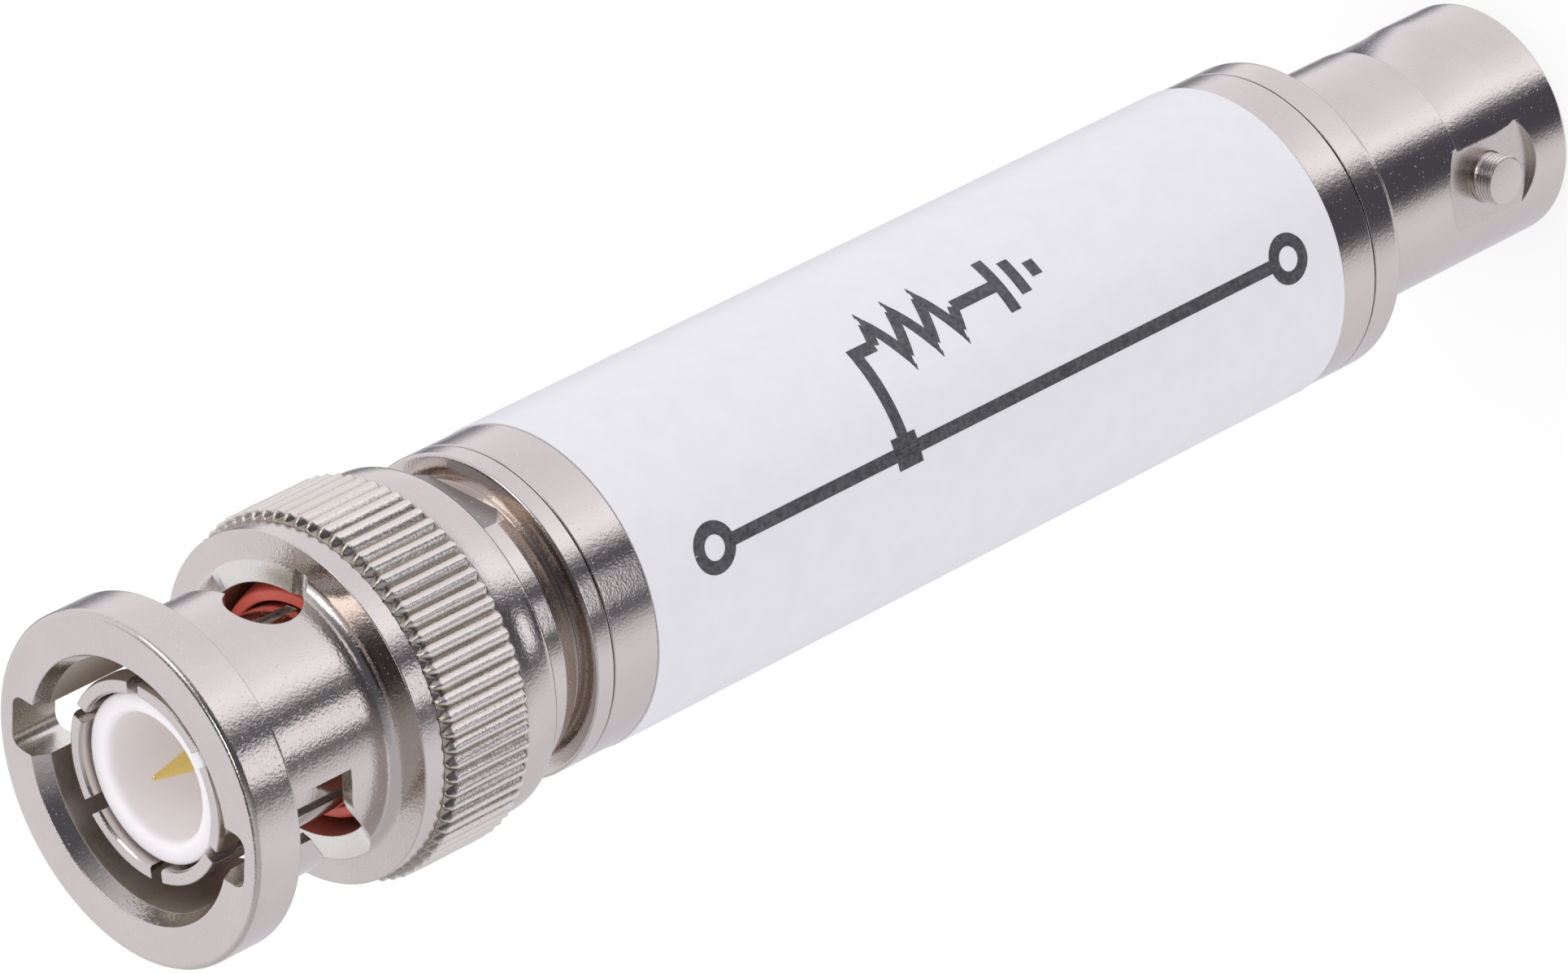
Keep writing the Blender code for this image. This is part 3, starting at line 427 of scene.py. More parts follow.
def plated(name, colour, roughness, grain=1.0, brush=0.0, edge=0.05, valley_shade=None):
    """Plated metal: cloudy tone, small nodules with a lighter colour as painted glints, a faint turned
    lay and soft edges.

    The valley shade is a pair of radii and a colour, which the inner radius has and the outer hasn't;
    it is painted shade in the hollows between teeth.
    """
    material, shader = principled(name, colour, roughness, 1.0)
    tree = material.node_tree
    cloud = noise_node(material, 420.0, 3.0, 0.55)
    tone = spread(material, cloud, 0.3, 0.7, 0.0, 1.0)
    coarse = specks(material, 6400.0, 0.29, 0.30 * grain)
    small = specks(material, 10500.0, 0.30, 0.26 * grain)
    nodules_and_glints = scalar(tree, "MAXIMUM", coarse, small)
    shade = blend(material, tone, colour, tuple(c * 0.95 for c in colour))
    # Painted glints: the nodules get a lighter colour; their extra roughness below is real
    shade = blend(material, nodules_and_glints, shade, (0.79, 0.735, 0.705))
    # Painted shade: darker colour towards the axis, in the valleys of the knurl
    if valley_shade:
        inner, outer, painted_shade_colour = valley_shade
        painted_shade_share = spread(material, axis_distance(material), inner * MM, outer * MM, 1.0, 0.0)
        shade = blend(material, painted_shade_share, shade, painted_shade_colour)
    link(material, shade, shader.inputs["Base Color"])
    fine = noise_node(material, 9000.0, 2.0, 0.6)
    rough = spread(material, fine, 0.25, 0.75, roughness * 0.85, roughness * 1.2)
    duller = spread(material, nodules_and_glints, 0.0, 1.0, 0.0, 0.42)
    link(material, scalar(tree, "ADD", rough, duller), shader.inputs["Roughness"])
    normal = edge_round(material, edge * MM)
    normal = bump(material, noise_node(material, 3800.0, 2.0, 0.6), grain, 0.0000055, normal)
    normal = bump(material, noise_node(material, 9500.0, 1.0, 0.5), grain, 0.000006, normal)
    if brush:
        stretch = node(material, "ShaderNodeMapping")
        stretch.inputs["Scale"].default_value = (1.0, 1.0, 60.0)
        link(material, object_space(material), stretch.inputs["Vector"])
        lines = noise_node(material, 260.0, 4.0, 0.7, stretch.outputs["Vector"])
        normal = bump(material, lines, brush, 0.00002, normal)
    link(material, normal, shader.inputs["Normal"])
    return material


def mottled(name, roughness, pattern, low, high, first, second):
    """A plastic whose colour wanders between two tones of a noise pattern."""
    middle = tuple((a + b) / 2 for a, b in zip(first, second))
    material, shader = principled(name, middle, roughness)
    noise_value = noise_node(material, *pattern)
    tone = spread(material, noise_value, low, high, 0.0, 1.0)
    link(material, blend(material, tone, first, second), shader.inputs["Base Color"])
    return material, shader, noise_value


def fluoropolymer(name, first, second):
    """White plastic that light enters, with soft edges."""
    material, shader, haze = mottled(name, 0.38, (700.0, 3.0), 0.3, 0.7, first, second)
    shader.inputs["Subsurface Weight"].default_value = 0.9
    shader.inputs["Subsurface Radius"].default_value = (1.0, 0.95, 0.95)
    shader.inputs["Subsurface Scale"].default_value = 0.0007
    normal = edge_round(material, 0.06 * MM)
    link(material, bump(material, haze, 0.10, 0.00002, normal), shader.inputs["Normal"])
    return material, shader


NICKEL = (0.668, 0.602, 0.550)


def make_materials():
    """Every material of the part, by name."""
    made = {}
    made["nickel"] = plated("satin_nickel", NICKEL, 0.15, grain=0.8, brush=0.03)
    made["nut"] = plated("nickel_of_nut", NICKEL, 0.16, grain=1.0, brush=0.04)
    # Painted light and shade on the knurl: the teeth are a lighter copy of the nickel, and the valleys
    # get a darker colour
    teeth = (0.78, 0.72, 0.645)
    valley_shade = (7.04, 7.16, (0.47, 0.425, 0.36))
    made["knurl"] = plated("nickel_of_knurl", teeth, 0.24, grain=1.5, valley_shade=valley_shade)
    # Painted light: a lighter copy of the nickel for the nut's bore wall, which lies in shade
    made["inside"] = plated("nickel_inside_painted_light", (0.80, 0.73, 0.64), 0.42, grain=0.6)
    made["seat"] = plated("nickel_of_seat", (0.70, 0.635, 0.585), 0.28, grain=0.4)
    # Painted reflection: the wrench flats are dark grey, standing in for a dark thing that they
    # reflect
    made["flat"] = plated("flat_painted_dark_reflection", (0.31, 0.285, 0.27), 0.22, grain=0.5, brush=0.15)
    made["milled"] = plated("milled_nickel", (0.82, 0.78, 0.70), 0.26, grain=0.5, brush=0.35)
    made["steel"] = plated("spring_steel", (0.46, 0.45, 0.44), 0.3, grain=0.6, brush=0.2)
    made["gold"] = plated("gold_plate", (0.95, 0.76, 0.25), 0.24, grain=0.3, edge=0.02)
    made["copper"] = plated("tinned_copper", (0.70, 0.66, 0.62), 0.3, grain=0.8)

    material, shader, mottle = mottled(
        "white_sleeve",
        0.42,
        (900.0, 4.0, 0.6),
        0.35,
        0.65,
        (0.775, 0.77, 0.815),
        (0.795, 0.79, 0.835),
    )
    link(material, bump(material, mottle, 0.12, 0.00004), shader.inputs["Normal"])
    made["sleeve"] = material

    tones = ((0.785, 0.775, 0.83), (0.815, 0.81, 0.865))
    made["resin"], _ = fluoropolymer("white_fluoropolymer", *tones)

    # Painted light: the plastic round the pin is pinkish and glows towards its bore, standing in for
    # the light there
    tones = ((0.785, 0.755, 0.785), (0.815, 0.785, 0.815))
    material, shader = fluoropolymer("bore_fluoropolymer_painted_glow", *tones)
    shader.inputs["Emission Color"].default_value = (1.0, 0.94, 0.95, 1)
    glow = spread(material, axis_distance(material), 2.36 * MM, 2.60 * MM, 0.17, 0.0)
    link(material, glow, shader.inputs["Emission Strength"])
    made["bore"] = material

    tones = ((0.76, 0.130, 0.092), (0.84, 0.150, 0.108))
    material, shader, mottle = mottled("red_silicone", 0.38, (1500.0, 3.0), 0.3, 0.7, *tones)
    link(material, bump(material, mottle, 0.2, 0.00002), shader.inputs["Normal"])
    made["silicone"] = material

    tones = ((0.09, 0.24, 0.40), (0.12, 0.29, 0.45))
    material, shader, mottle = mottled("blue_lacquer", 0.35, (600.0, 3.0), 0.3, 0.7, *tones)
    link(material, bump(material, mottle, 0.2, 0.00003), shader.inputs["Normal"])
    made["lacquer"] = material

    tones = ((0.050, 0.050, 0.056), (0.10, 0.10, 0.108))
    made["print"] = mottled("sleeve_print", 0.5, (5000.0, 2.0), 0.35, 0.7, *tones)[0]
    return made


MATERIALS = make_materials()


# Coupling nut


# Front of the nut's collar: its slope in degrees, and its fillet to the neck
FLARE_TILT = 7.0
FLARE_FILLET = 0.50

# Paths in the nut for a socket's lugs, where depths count from the nut's front
PATH_HALF_WIDTH = 1.1
CHANNEL_DEPTH = 5.85
CHANNEL_RADIUS = 6.15
CHANNEL_CORNER = 0.5
SLOT_START_DEPTH = 4.75
SLOT_FALL = 2.1
SLOT_SWEEP = 90
SLOT_FALL_SWEEP = 45
DETENT_RADIUS = 1.45
DETENT_DEPTH = 6.4
CUTTER_INNER = 4.3
CUTTER_OUTER = 7.9


def nut_flare(steps=10):
    """The shallow cone in front of the nut's collar, and its fillet to the neck."""
    tilt = radians(FLARE_TILT)
    points = []
    for k in range(steps + 1):
        turn = tilt + (pi / 2 - tilt) * k / steps
        out = FLARE_FILLET * (1 - sin(turn))
        points.append((NECK_RADIUS + out, NECK_BOTTOM - FLARE_FILLET * cos(turn)))
    return points


def channel():
    """An entry channel that opens into the bore, with rounded outer corners."""
    inner = 3.9
    reach = CHANNEL_RADIUS - CHANNEL_CORNER
    aside = PATH_HALF_WIDTH - CHANNEL_CORNER
    outline = [(inner, -PATH_HALF_WIDTH)]
    for side, start in ((-1, -90), (1, 0)):
        for k in range(7):
            turn = radians(start + 15 * k)
            x = reach + CHANNEL_CORNER * cos(turn)
            outline.append((x, side * aside + CHANNEL_CORNER * sin(turn)))
    outline.append((inner, PATH_HALF_WIDTH))
    bm = bmesh.new()
    lower = [bm.verts.new((x, y, LENGTH - CHANNEL_DEPTH)) for x, y in outline]
    upper = [bm.verts.new((x, y, LENGTH + 0.6)) for x, y in outline]
    bm.faces.new(lower)
    bm.faces.new(upper)
    for k in range(len(outline)):
        n = (k + 1) % len(outline)
        bm.faces.new((lower[k], lower[n], upper[n], upper[k]))
    return bm


def cam_slot(steps=48):
    """The helical path that a lug's side follows from the channel to the detent."""
    bm = bmesh.new()
    corners = ((CUTTER_INNER, -1), (CUTTER_OUTER, -1), (CUTTER_OUTER, 1), (CUTTER_INNER, 1))
    stations = []
    for k in range(steps + 1):
        swept = SLOT_SWEEP * k / steps
        share = min(swept / SLOT_FALL_SWEEP, 1.0)
        depth = SLOT_START_DEPTH + SLOT_FALL * share * share * (3 - 2 * share)
        turn = radians(-swept)
        station = []
        for radius, side in corners:
            x, y = radius * cos(turn), radius * sin(turn)
            height = LENGTH - depth + side * PATH_HALF_WIDTH
            station.append(bm.verts.new((x, y, height)))
        stations.append(station)
    for first, second in zip(stations, stations[1:]):
        for k in range(4):
            n = (k + 1) % 4
            bm.faces.new((first[k], first[n], second[n], second[k]))
    bm.faces.new(stations[0])
    bm.faces.new(stations[-1])
    return bm


def in_bore(face):
    """Whether a face of the nut is its bore's wall."""
    middle = face.center.xy
    return middle.length < (BORE_RADIUS + 0.01) * MM and face.normal.xy.dot(middle) < 0


def nut_front():
    """Front ring, neck and flare with the bayonet paths cut through them."""
    section = [
        (KNURL_FOOT, KNURL_TOP),
        (KNURL_FOOT, FLARE_BOTTOM, 0.05),
        *nut_flare(),
        (NECK_RADIUS, 68.98),
        (NECK_RADIUS - 0.02, 69.02),
        (NECK_RADIUS, 69.06),
        (NECK_RADIUS, RING_BOTTOM, 0.08),
        (NUT_RADIUS, RING_BOTTOM, 0.10),
        (NUT_RADIUS, LENGTH, 0.22),
        (5.22, LENGTH, 0.03),
        (BORE_RADIUS, LENGTH - 0.65, 0.03),
        (BORE_RADIUS, 61.45),
        (6.00, 61.45),
        (6.00, KNURL_TOP),
    ]
    item = new_object(
        "coupling_nut_front",
        turned("coupling_nut_front", section),
        MATERIALS["nut"],
        "nut",
        "coupling_nut",
    )
    cutters = []
    for side in (0, 180):
        turn = NUT_TURN + side
        cutters += [
            swing(channel(), turn),
            swing(cam_slot(), turn),
            spoke(DETENT_RADIUS, CUTTER_INNER, CUTTER_OUTER, LENGTH - DETENT_DEPTH, turn - SLOT_SWEEP),
            spoke(0.55, CUTTER_INNER, 6.0, LENGTH - 7.55, turn - SLOT_SWEEP - 2.5),
        ]
    carve(item, cutters, metal="milled")
    # The bore wall gets the lighter nickel, painted light in its shade
    recoat(item, "inside", lambda face: in_bore(face) and face.material_index == 0)
    weigh_normals(item)


def knurl_surface(angle, height, number):
    """Radius of the knurl: rounded teeth, cut to points by a cone at each end."""
    wobble = noise.noise((number * 3.7, 0.0, height * 0.35))
    wear = noise.noise((number * 1.9, 7.0, height * 2.3))
    share = min(abs(2 * (angle + 0.05 * wobble)), 1.0)
    ahead = max(KNURL_TOP - 0.03 * wear - height, 0.0)
    behind = max(height - KNURL_BOTTOM, 0.0)
    width = min(1.0, 0.12 + (ahead / 0.42) ** 0.7, 0.5 + behind / 0.25)
    rise = min(1.0, (ahead / 0.30) ** 0.5, (behind / 0.25) ** 0.6)
    tooth = max(0.0, 1.0 - (share / width) ** 1.7)
    floor_level = KNURL_FOOT + 0.15 * min(1.0, ahead / 0.5, behind / 0.3)
    return floor_level + (TOOTH_RADIUS - 0.02 * max(wear, 0.0) - floor_level) * tooth * rise


def knurl():
    """The knurled band with its smooth rear collar."""
    columns = 14
    bm = bmesh.new()
    heights = [KNURL_BOTTOM + 0.05 * k for k in range(8)]
    heights += [KNURL_BOTTOM + 0.4 + 0.45 * k for k in range(7)]
    heights += [KNURL_TOP - 0.50 + 0.04 * k for k in range(13)]
    rings = []

    def ring(radius, height):
        made = []
        for k in range(TEETH * columns):
            number, step = divmod(k, columns)
            place = step / columns - 0.5
            r = radius(place, height, number) if callable(radius) else radius
            turn = radians(NUT_TURN) + 2 * pi * (number + place) / TEETH
            made.append(bm.verts.new((r * cos(turn), r * sin(turn), height)))
        rings.append(made)

    bore = 6.15
    ring(bore, NUT_BOTTOM + 0.05)
    ring(bore + 0.05, NUT_BOTTOM)
    ring(6.55, NUT_BOTTOM)
    for k in range(7):
        turn = radians(15 * k)
        ring(6.58 + 0.30 * sin(turn), NUT_BOTTOM + 0.38 * (1 - cos(turn)))
    ring(6.89, NUT_BOTTOM + 0.55)
    ring(NUT_RADIUS, KNURL_BOTTOM - 0.06)
    for height in heights:
        ring(knurl_surface, height)
    ring(bore, KNURL_TOP)
    for first, second in zip(rings, rings[1:] + rings[:1]):
        count = len(first)
        for k in range(count):
            n = (k + 1) % count
            bm.faces.new((first[k], first[n], second[n], second[k]))
    mesh = smooth(mesh_from("coupling_nut_knurl", bm), 40)
    item = new_object("coupling_nut_knurl", mesh, MATERIALS["knurl"], "nut")
    recoat(item, "nut", lambda face: face.center.z < (KNURL_BOTTOM - 0.01) * MM)


def spring_set():
    """Washers and the split ring keep their solids and get their metal."""
    for name in ("wave_washer", "thrust_washer", "retaining_ring"):
        paint(name, "steel")
    mesh = NODES["wave_washer"].data.copy()
    wave = new_object("wave_washer_sprung", mesh, MATERIALS["steel"], "body")
    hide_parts("wave_washer")
    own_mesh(wave)


def paint(name, material):
    """Gives a CAD node that stays one of the scene's materials."""
    for slot in NODES[name].material_slots:
        slot.material = MATERIALS[material]


# Plug


def plug():
    """Spring fingers, gasket, insulator and pin."""
    section = [
        (FINGER_BORE, 52.45),
        (4.50, 52.45),
        (4.50, 60.60),
        (6.00, 60.60),
        (6.00, FINGER_FOOT),
        (FINGER_RADIUS, FINGER_FOOT),
        (FINGER_RADIUS, 69.95),
        (BEAD_RADIUS, 70.25, 0.3),
        (BEAD_RADIUS, 70.95, 0.3),
        (3.94, FINGER_TOP, 0.05),
        (3.50, FINGER_TOP, 0.04),
        (FINGER_BORE, FINGER_TOP - 0.10, 0.03),
    ]
    item = new_object(
        "plug_fingers",
        turned("plug_fingers", section, 240),
        MATERIALS["nickel"],
        "body",
        "plug_body",
    )
    slots = [swing(block((-4.7, -0.29, 63.5), (4.7, 0.29, 71.5)), 36.5 + 60 * k) for k in range(3)]
    carve(item, slots)
    weigh_normals(item)

    section = [
        (3.98, 61.35, 0.1),
        (4.68, 61.35, 0.1),
        (4.68, GASKET_TOP, 0.10),
        (4.40, GASKET_LIP_TOP, 0.20),
        (3.98, GASKET_LIP_TOP, 0.10),
    ]
    mesh = turned("gasket_ring", section, 144)
    new_object("gasket_ring", mesh, MATERIALS["silicone"], "body", "gasket")

    section = [
        (0.73, 59.40),
        (INSULATOR_RADIUS, 59.40),
        (INSULATOR_RADIUS, INSULATOR_TOP, 0.12),
        (2.50, INSULATOR_TOP, 0.30),
        (2.40, 62.40, 0.2),
        (0.73, 62.20),
    ]
    mesh = turned("plug_insulator_tube", section, 192)
    new_object(
        "plug_insulator_tube",
        mesh,
        # This plastic's glow at its bore is painted light
        MATERIALS["bore"],
        "body",
        "plug_insulator",
    )

    section = [
        (0.0, 58.70),
        (0.55, 58.70),
        (0.55, 56.70),
        (0.95, 56.70),
        (0.95, 59.30),
        (PIN_RADIUS, 59.30),
        (PIN_RADIUS, 67.60, 0.5),
        (0.10, 70.72, 0.06),
        (0.0, INSULATOR_TOP),
    ]
    mesh = turned("plug_pin_point", section, 64)
    new_object("plug_pin_point", mesh, MATERIALS["gold"], "body", "plug_pin")


# Middle


def middle():
    """Cap with wrench flats, tube and sleeve."""
    section = [
        (2.00, 51.40),
        (SPIGOT_RADIUS, 51.40, 0.1),
        (SPIGOT_RADIUS, RIM_BOTTOM),
        (TUBE_RADIUS, RIM_BOTTOM, 0.05),
        (TUBE_RADIUS, RIM_TOP, 0.12),
        (GROOVE_RADIUS, RIM_TOP, 0.05),
        (GROOVE_RADIUS, COLLAR_BOTTOM, 0.05),
        (SPIGOT_RADIUS, COLLAR_BOTTOM, 0.03),
        (CAP_RADIUS, COLLAR_BOTTOM + 0.70, 0.05),
        (CAP_RADIUS, COLLAR_TOP, 0.05),
        (CAP_BORE, COLLAR_TOP),
        (CAP_BORE, 52.40),
        (2.00, 52.40),
    ]
    item = new_object(
        "end_cap",
        turned("end_cap", section),
        MATERIALS["nickel"],
        "body",
        "front_end_cap",
    )
    bottom, top = COLLAR_BOTTOM - 0.01, COLLAR_TOP + 0.5
    flats = [
        block((-7, FLAT_DISTANCE, bottom), (7, 7, top)),
        block((-7, -7, bottom), (7, -FLAT_DISTANCE, top)),
    ]
    # The flats' dark metal is a painted dark reflection
    carve(item, flats, metal="flat")
    weigh_normals(item)

    section = [
        (TUBE_BORE, TUBE_BOTTOM),
        (TUBE_RADIUS, TUBE_BOTTOM, 0.06),
        (TUBE_RADIUS, SLEEVE_BOTTOM - 0.03, 0.02),
        (TUBE_SEAT_RADIUS, SLEEVE_BOTTOM - 0.03),
        (TUBE_SEAT_RADIUS, SLEEVE_TOP + 0.03),
        (TUBE_RADIUS, SLEEVE_TOP + 0.03, 0.02),
        (TUBE_RADIUS, TUBE_TOP, 0.06),
        (TUBE_BORE, TUBE_TOP),
    ]
    item = new_object(
        "tube_shell",
        turned("tube_shell", section),
        MATERIALS["nickel"],
        "body",
        "body_tube",
    )
    weigh_normals(item)

    section = [
        (SLEEVE_BORE, SLEEVE_BOTTOM),
        (SLEEVE_RADIUS, SLEEVE_BOTTOM, 0.05),
        (SLEEVE_RADIUS, SLEEVE_TOP, 0.05),
        (SLEEVE_BORE, SLEEVE_TOP),
    ]
    item = new_object(
        "sleeve",
        turned("sleeve", section),
        MATERIALS["sleeve"],
        "body",
        "label_sleeve",
    )
    weigh_normals(item)


# Socket


def relief(steps=84):
    """The shallow turned relief between the lugs' seats on one side of the barrel."""
    bm = bmesh.new()
    outline = (
        (BARREL_RADIUS, 2.62),
        (4.805, 2.95),
        (4.775, 3.35),
        (4.765, 3.70),
        (4.765, 5.90),
        (4.80, 5.97),
        (5.00, 5.99),
        (5.00, 2.62),
    )
    rows = []
    for k in range(steps + 1):
        turn = radians(LUG_TURN + 4 + 172 * k / steps)
        rows.append([bm.verts.new((r * cos(turn), r * sin(turn), z)) for r, z in outline])
    count = len(outline)
    for first, second in zip(rows, rows[1:]):
        for k in range(count):
            n = (k + 1) % count
            bm.faces.new((first[k], first[n], second[n], second[k]))
    bm.faces.new(rows[0])
    bm.faces.new(rows[-1])
    return bm


def socket():
    """Barrel with its lugs, flange, insulators and contact."""
    section = [
        (BARREL_BORE, 0.0, 0.12),
        (BARREL_RADIUS, 0.0, 0.14),
        (BARREL_RADIUS, 1.3),
        (BARREL_RADIUS, 1.8),
        (BARREL_RADIUS, 6.9),
        (BARREL_RADIUS, 7.4),
        (BARREL_RADIUS, 10.15, 0.1),
        (4.90, 10.25, 0.1),
        (4.90, BARREL_END, 0.06),
        (TUBE_RADIUS, BARREL_END, 0.26),
        (TUBE_RADIUS, FLANGE_TOP, 0.04),
        (SPIGOT_RADIUS, FLANGE_TOP),
        (SPIGOT_RADIUS, 15.80),
        (3.30, 15.80),
        (3.30, 8.50),
        (BARREL_BORE, 8.50),
    ]
    item = new_object(
        "socket_barrel",
        turned("socket_barrel", section),
        MATERIALS["nickel"],
        "body",
        "socket_shell",
    )
    carve(item, [relief()])
    cutters = []
    for side in (0, 180):
        turn = LUG_TURN + side
        cutters.append(spoke(2.5, 4.52, 5.6, LUG_HEIGHT, turn, 96))
        cutters.append(spoke(LUG_HOLE_RADIUS, 3.4, 5.6, LUG_HEIGHT, turn))
    carve(item, cutters, metal="seat")
    weigh_normals(item)

    ridges = []
    for k in range(4):
        x = 4.80 + 0.17 * k
        ridges += [(0.94, x), (1.0, x + 0.05), (1.0, x + 0.10), (0.94, x + 0.15)]
    section = [(0.0, 4.17), (1.02, 4.17), (1.02, 4.62), (LUG_RADIUS, 4.72), *ridges]
    section += [(0.97, 5.46), (0.93, 5.5, 0.03), (0.0, 5.5)]
    for number, side in enumerate((0, 180)):
        bm = lathe(section, 48, 3)
        place = (
            Matrix.Rotation(radians(LUG_TURN + side), 4, "Z")
            @ Matrix.Translation((0, 0, LUG_HEIGHT))
            @ Matrix.Rotation(pi / 2, 4, "Y")
        )
        bmesh.ops.transform(bm, matrix=place, verts=bm.verts)
        name = f"lug_{number + 1}"
        mesh = smooth(mesh_from(name, bm), 40)
        node_name = f"bayonet_lug_{number + 1}"
        new_object(name, mesh, MATERIALS["nickel"], "body", node_name)

    section = [
        (1.10, 0.25, 0.05),
        (2.36, 0.25, 0.12),
        (2.36, 8.55),
        (3.20, 8.55),
        (3.20, 12.45),
        (1.10, 12.45),
    ]
    mesh = turned("socket_post", section, 144)
    new_object(
        "socket_post",
        mesh,
        MATERIALS["resin"],
        "body",
        "socket_insulator",
    )

    section = [
        (0.0, 5.1),
        (0.69, 5.0),
        (0.69, 0.62),
        (0.80, 0.5, 0.03),
        (1.05, 0.5, 0.08),
        (1.05, 11.8),
        (0.55, 11.8),
        (0.55, 9.8),
        (0.0, 9.8),
    ]
    item = new_object(
        "contact",
        turned("contact", section, 72),
        MATERIALS["gold"],
        "body",
        "socket_contact",
    )
    slots = [swing(block((-1.6, -0.12, -0.5), (1.6, 0.12, 4.1)), 45 + 90 * k) for k in range(2)]
    carve(item, slots)


# Print


def on_sleeve(height, arc, lift):
    """The point over the sleeve at a height and an arc length round from the +X side."""
    radius = SLEEVE_RADIUS + lift
    turn = arc / SLEEVE_RADIUS
    return (radius * cos(turn), radius * sin(turn), height)


def edges_of(points, width):
    """The two edges of a line of a width through (height, arc length) points."""
    left, right = [], []
    last = len(points) - 1
    for k, here in enumerate(points):
        before = (here - points[k - 1]).normalized() if k else None
        after = (points[k + 1] - here).normalized() if k < last else None
        along = ((before or after) + (after or before)).normalized()
        across = Vector((-along.y, along.x))
        share = width / 2 / max(0.35, along.dot(after or before))
        left.append(here + across * share)
        right.append(here - across * share)
    return left, right


def stroke(bm, points, width, lift=0.012):
    """Adds a line as a thin solid that follows the sleeve's curve."""
    fine = []
    for first, second in zip(points, points[1:]):
        first, second = Vector(first), Vector(second)
        steps = max(1, int((second - first).length / 0.25))
        fine += [first + (second - first) * k / steps for k in range(steps)]
    fine.append(Vector(points[-1]))
    columns = 1 + max(2, int(width / 0.12))
    rows = []
    for a, b in zip(*edges_of(fine, width)):
        places = [a + (b - a) * k / (columns - 1) for k in range(columns)]
        row = [bm.verts.new(on_sleeve(q.x, q.y, lift)) for q in places]
        row += [bm.verts.new(on_sleeve(q.x, q.y, -0.02)) for q in reversed(places)]
        rows.append(row)
    for first, second in zip(rows, rows[1:]):
        for k in range(2 * columns):
            n = (k + 1) % (2 * columns)
            bm.faces.new((first[k], first[n], second[n], second[k]))
    bm.faces.new(rows[0])
    bm.faces.new(rows[-1])


def circle(centre, radius, steps=40):
    points = []
    for k in range(steps + 1):
        turn = radians(360 * k / steps)
        points.append((centre[0] + radius * cos(turn), centre[1] + radius * sin(turn)))
    return points


def sleeve_print():
    """A plain circuit symbol: a through line with a resistor to ground."""
    low = radians(24.0) * SLEEVE_RADIUS
    high = radians(60.5) * SLEEVE_RADIUS
    width = 0.52
    dot = 0.62
    zigzag_reach = 0.95
    bm = bmesh.new()
    top = LENGTH - 22.8
    end = LENGTH - 55.2
    ring = 0.75
    stroke(bm, circle((top - ring, low), ring), width)
    stroke(bm, circle((end + ring, low), ring), width)
    stroke(bm, [(top - 2 * ring, low), (end + 2 * ring, low)], width)
    foot = LENGTH - 33.6
    stroke(bm, [(foot - dot, low), (foot + dot, low)], 2 * dot)
    stroke(bm, [(foot, low), (foot, high), (foot - 1.0, high)], width)
    zigzag = [(foot - 1.0, high)]
    for k in range(6):
        side = zigzag_reach if k % 2 == 0 else -zigzag_reach
        zigzag.append((foot - 1.35 - 0.7 * k, high + side))
    zigzag.append((foot - 5.2, high))
    stroke(bm, zigzag, width * 0.9)
    stroke(bm, [(foot - 5.2, high), (foot - 7.4, high)], width)
    for k, reach in enumerate((1.25, 0.8, 0.35)):
        place = foot - 7.6 - 0.95 * k
        stroke(bm, [(place, high - reach), (place, high + reach)], width)
    mesh = smooth(mesh_from("print", bm), 40)
    new_object("print", mesh, MATERIALS["print"], "body")


# Floor, light and camera


def glow_share(tree):
    """The floor's share of plain white for the rays that see it, and 0 for those that light."""
    path = tree.nodes.new("ShaderNodeLightPath")
    total = path.outputs["Is Camera Ray"]
    for name in ("Is Glossy Ray", "Is Transmission Ray"):
        total = scalar(tree, "MAXIMUM", total, path.outputs[name])
    return scalar(tree, "MULTIPLY", total, FLOOR_GLOW_SHARE)


def floor():
    """A pale floor that shows as white and keeps a soft shadow."""
    bm = bmesh.new()
    size = 4000
    corners = ((-size, -size), (size, -size), (size, size), (-size, size))
    bm.faces.new([bm.verts.new((x, y, -0.01)) for x, y in corners])
    mesh = mesh_from("floor", bm)
    material, shader = principled("pale_floor", (0.80, 0.80, 0.80), 0.9)
    shader.inputs["Specular IOR Level"].default_value = 0.0
    glow = node(material, "ShaderNodeEmission")
    glow.inputs["Color"].default_value = (1, 1, 1, 1)
    glow.inputs["Strength"].default_value = 1.06
    mix = node(material, "ShaderNodeMixShader")
    link(material, glow_share(material.node_tree), mix.inputs[0])
    link(material, shader.outputs[0], mix.inputs[1])
    link(material, glow.outputs[0], mix.inputs[2])
    output = material.node_tree.nodes["Material Output"]
    link(material, mix.outputs[0], output.inputs["Surface"])
    item = bpy.data.objects.new("floor", mesh)
    item.visible_glossy = False
    mesh.materials.append(material)
    bpy.context.scene.collection.objects.link(item)


def polar(radius, angle, height):
    turn = radians(angle)
    return (radius * cos(turn), radius * sin(turn), height)


def ramp(tree, stops):
    """A colour ramp of grey stops, given as (position, tone), with darks that are bluish."""
    made = tree.nodes.new("ShaderNodeValToRGB")
    band = made.color_ramp
    for element, (position, tone) in zip(list(band.elements), (stops[0], stops[-1])):
        element.position = position
        element.color = (tone, tone, tone, 1)
    for position, tone in stops[1:-1]:
        element = band.elements.new(position)
        blue = 0.022 * max(0.0, 1.0 - tone / 0.5)
        element.color = (tone, tone + 0.15 * blue, tone + blue, 1)
    return made


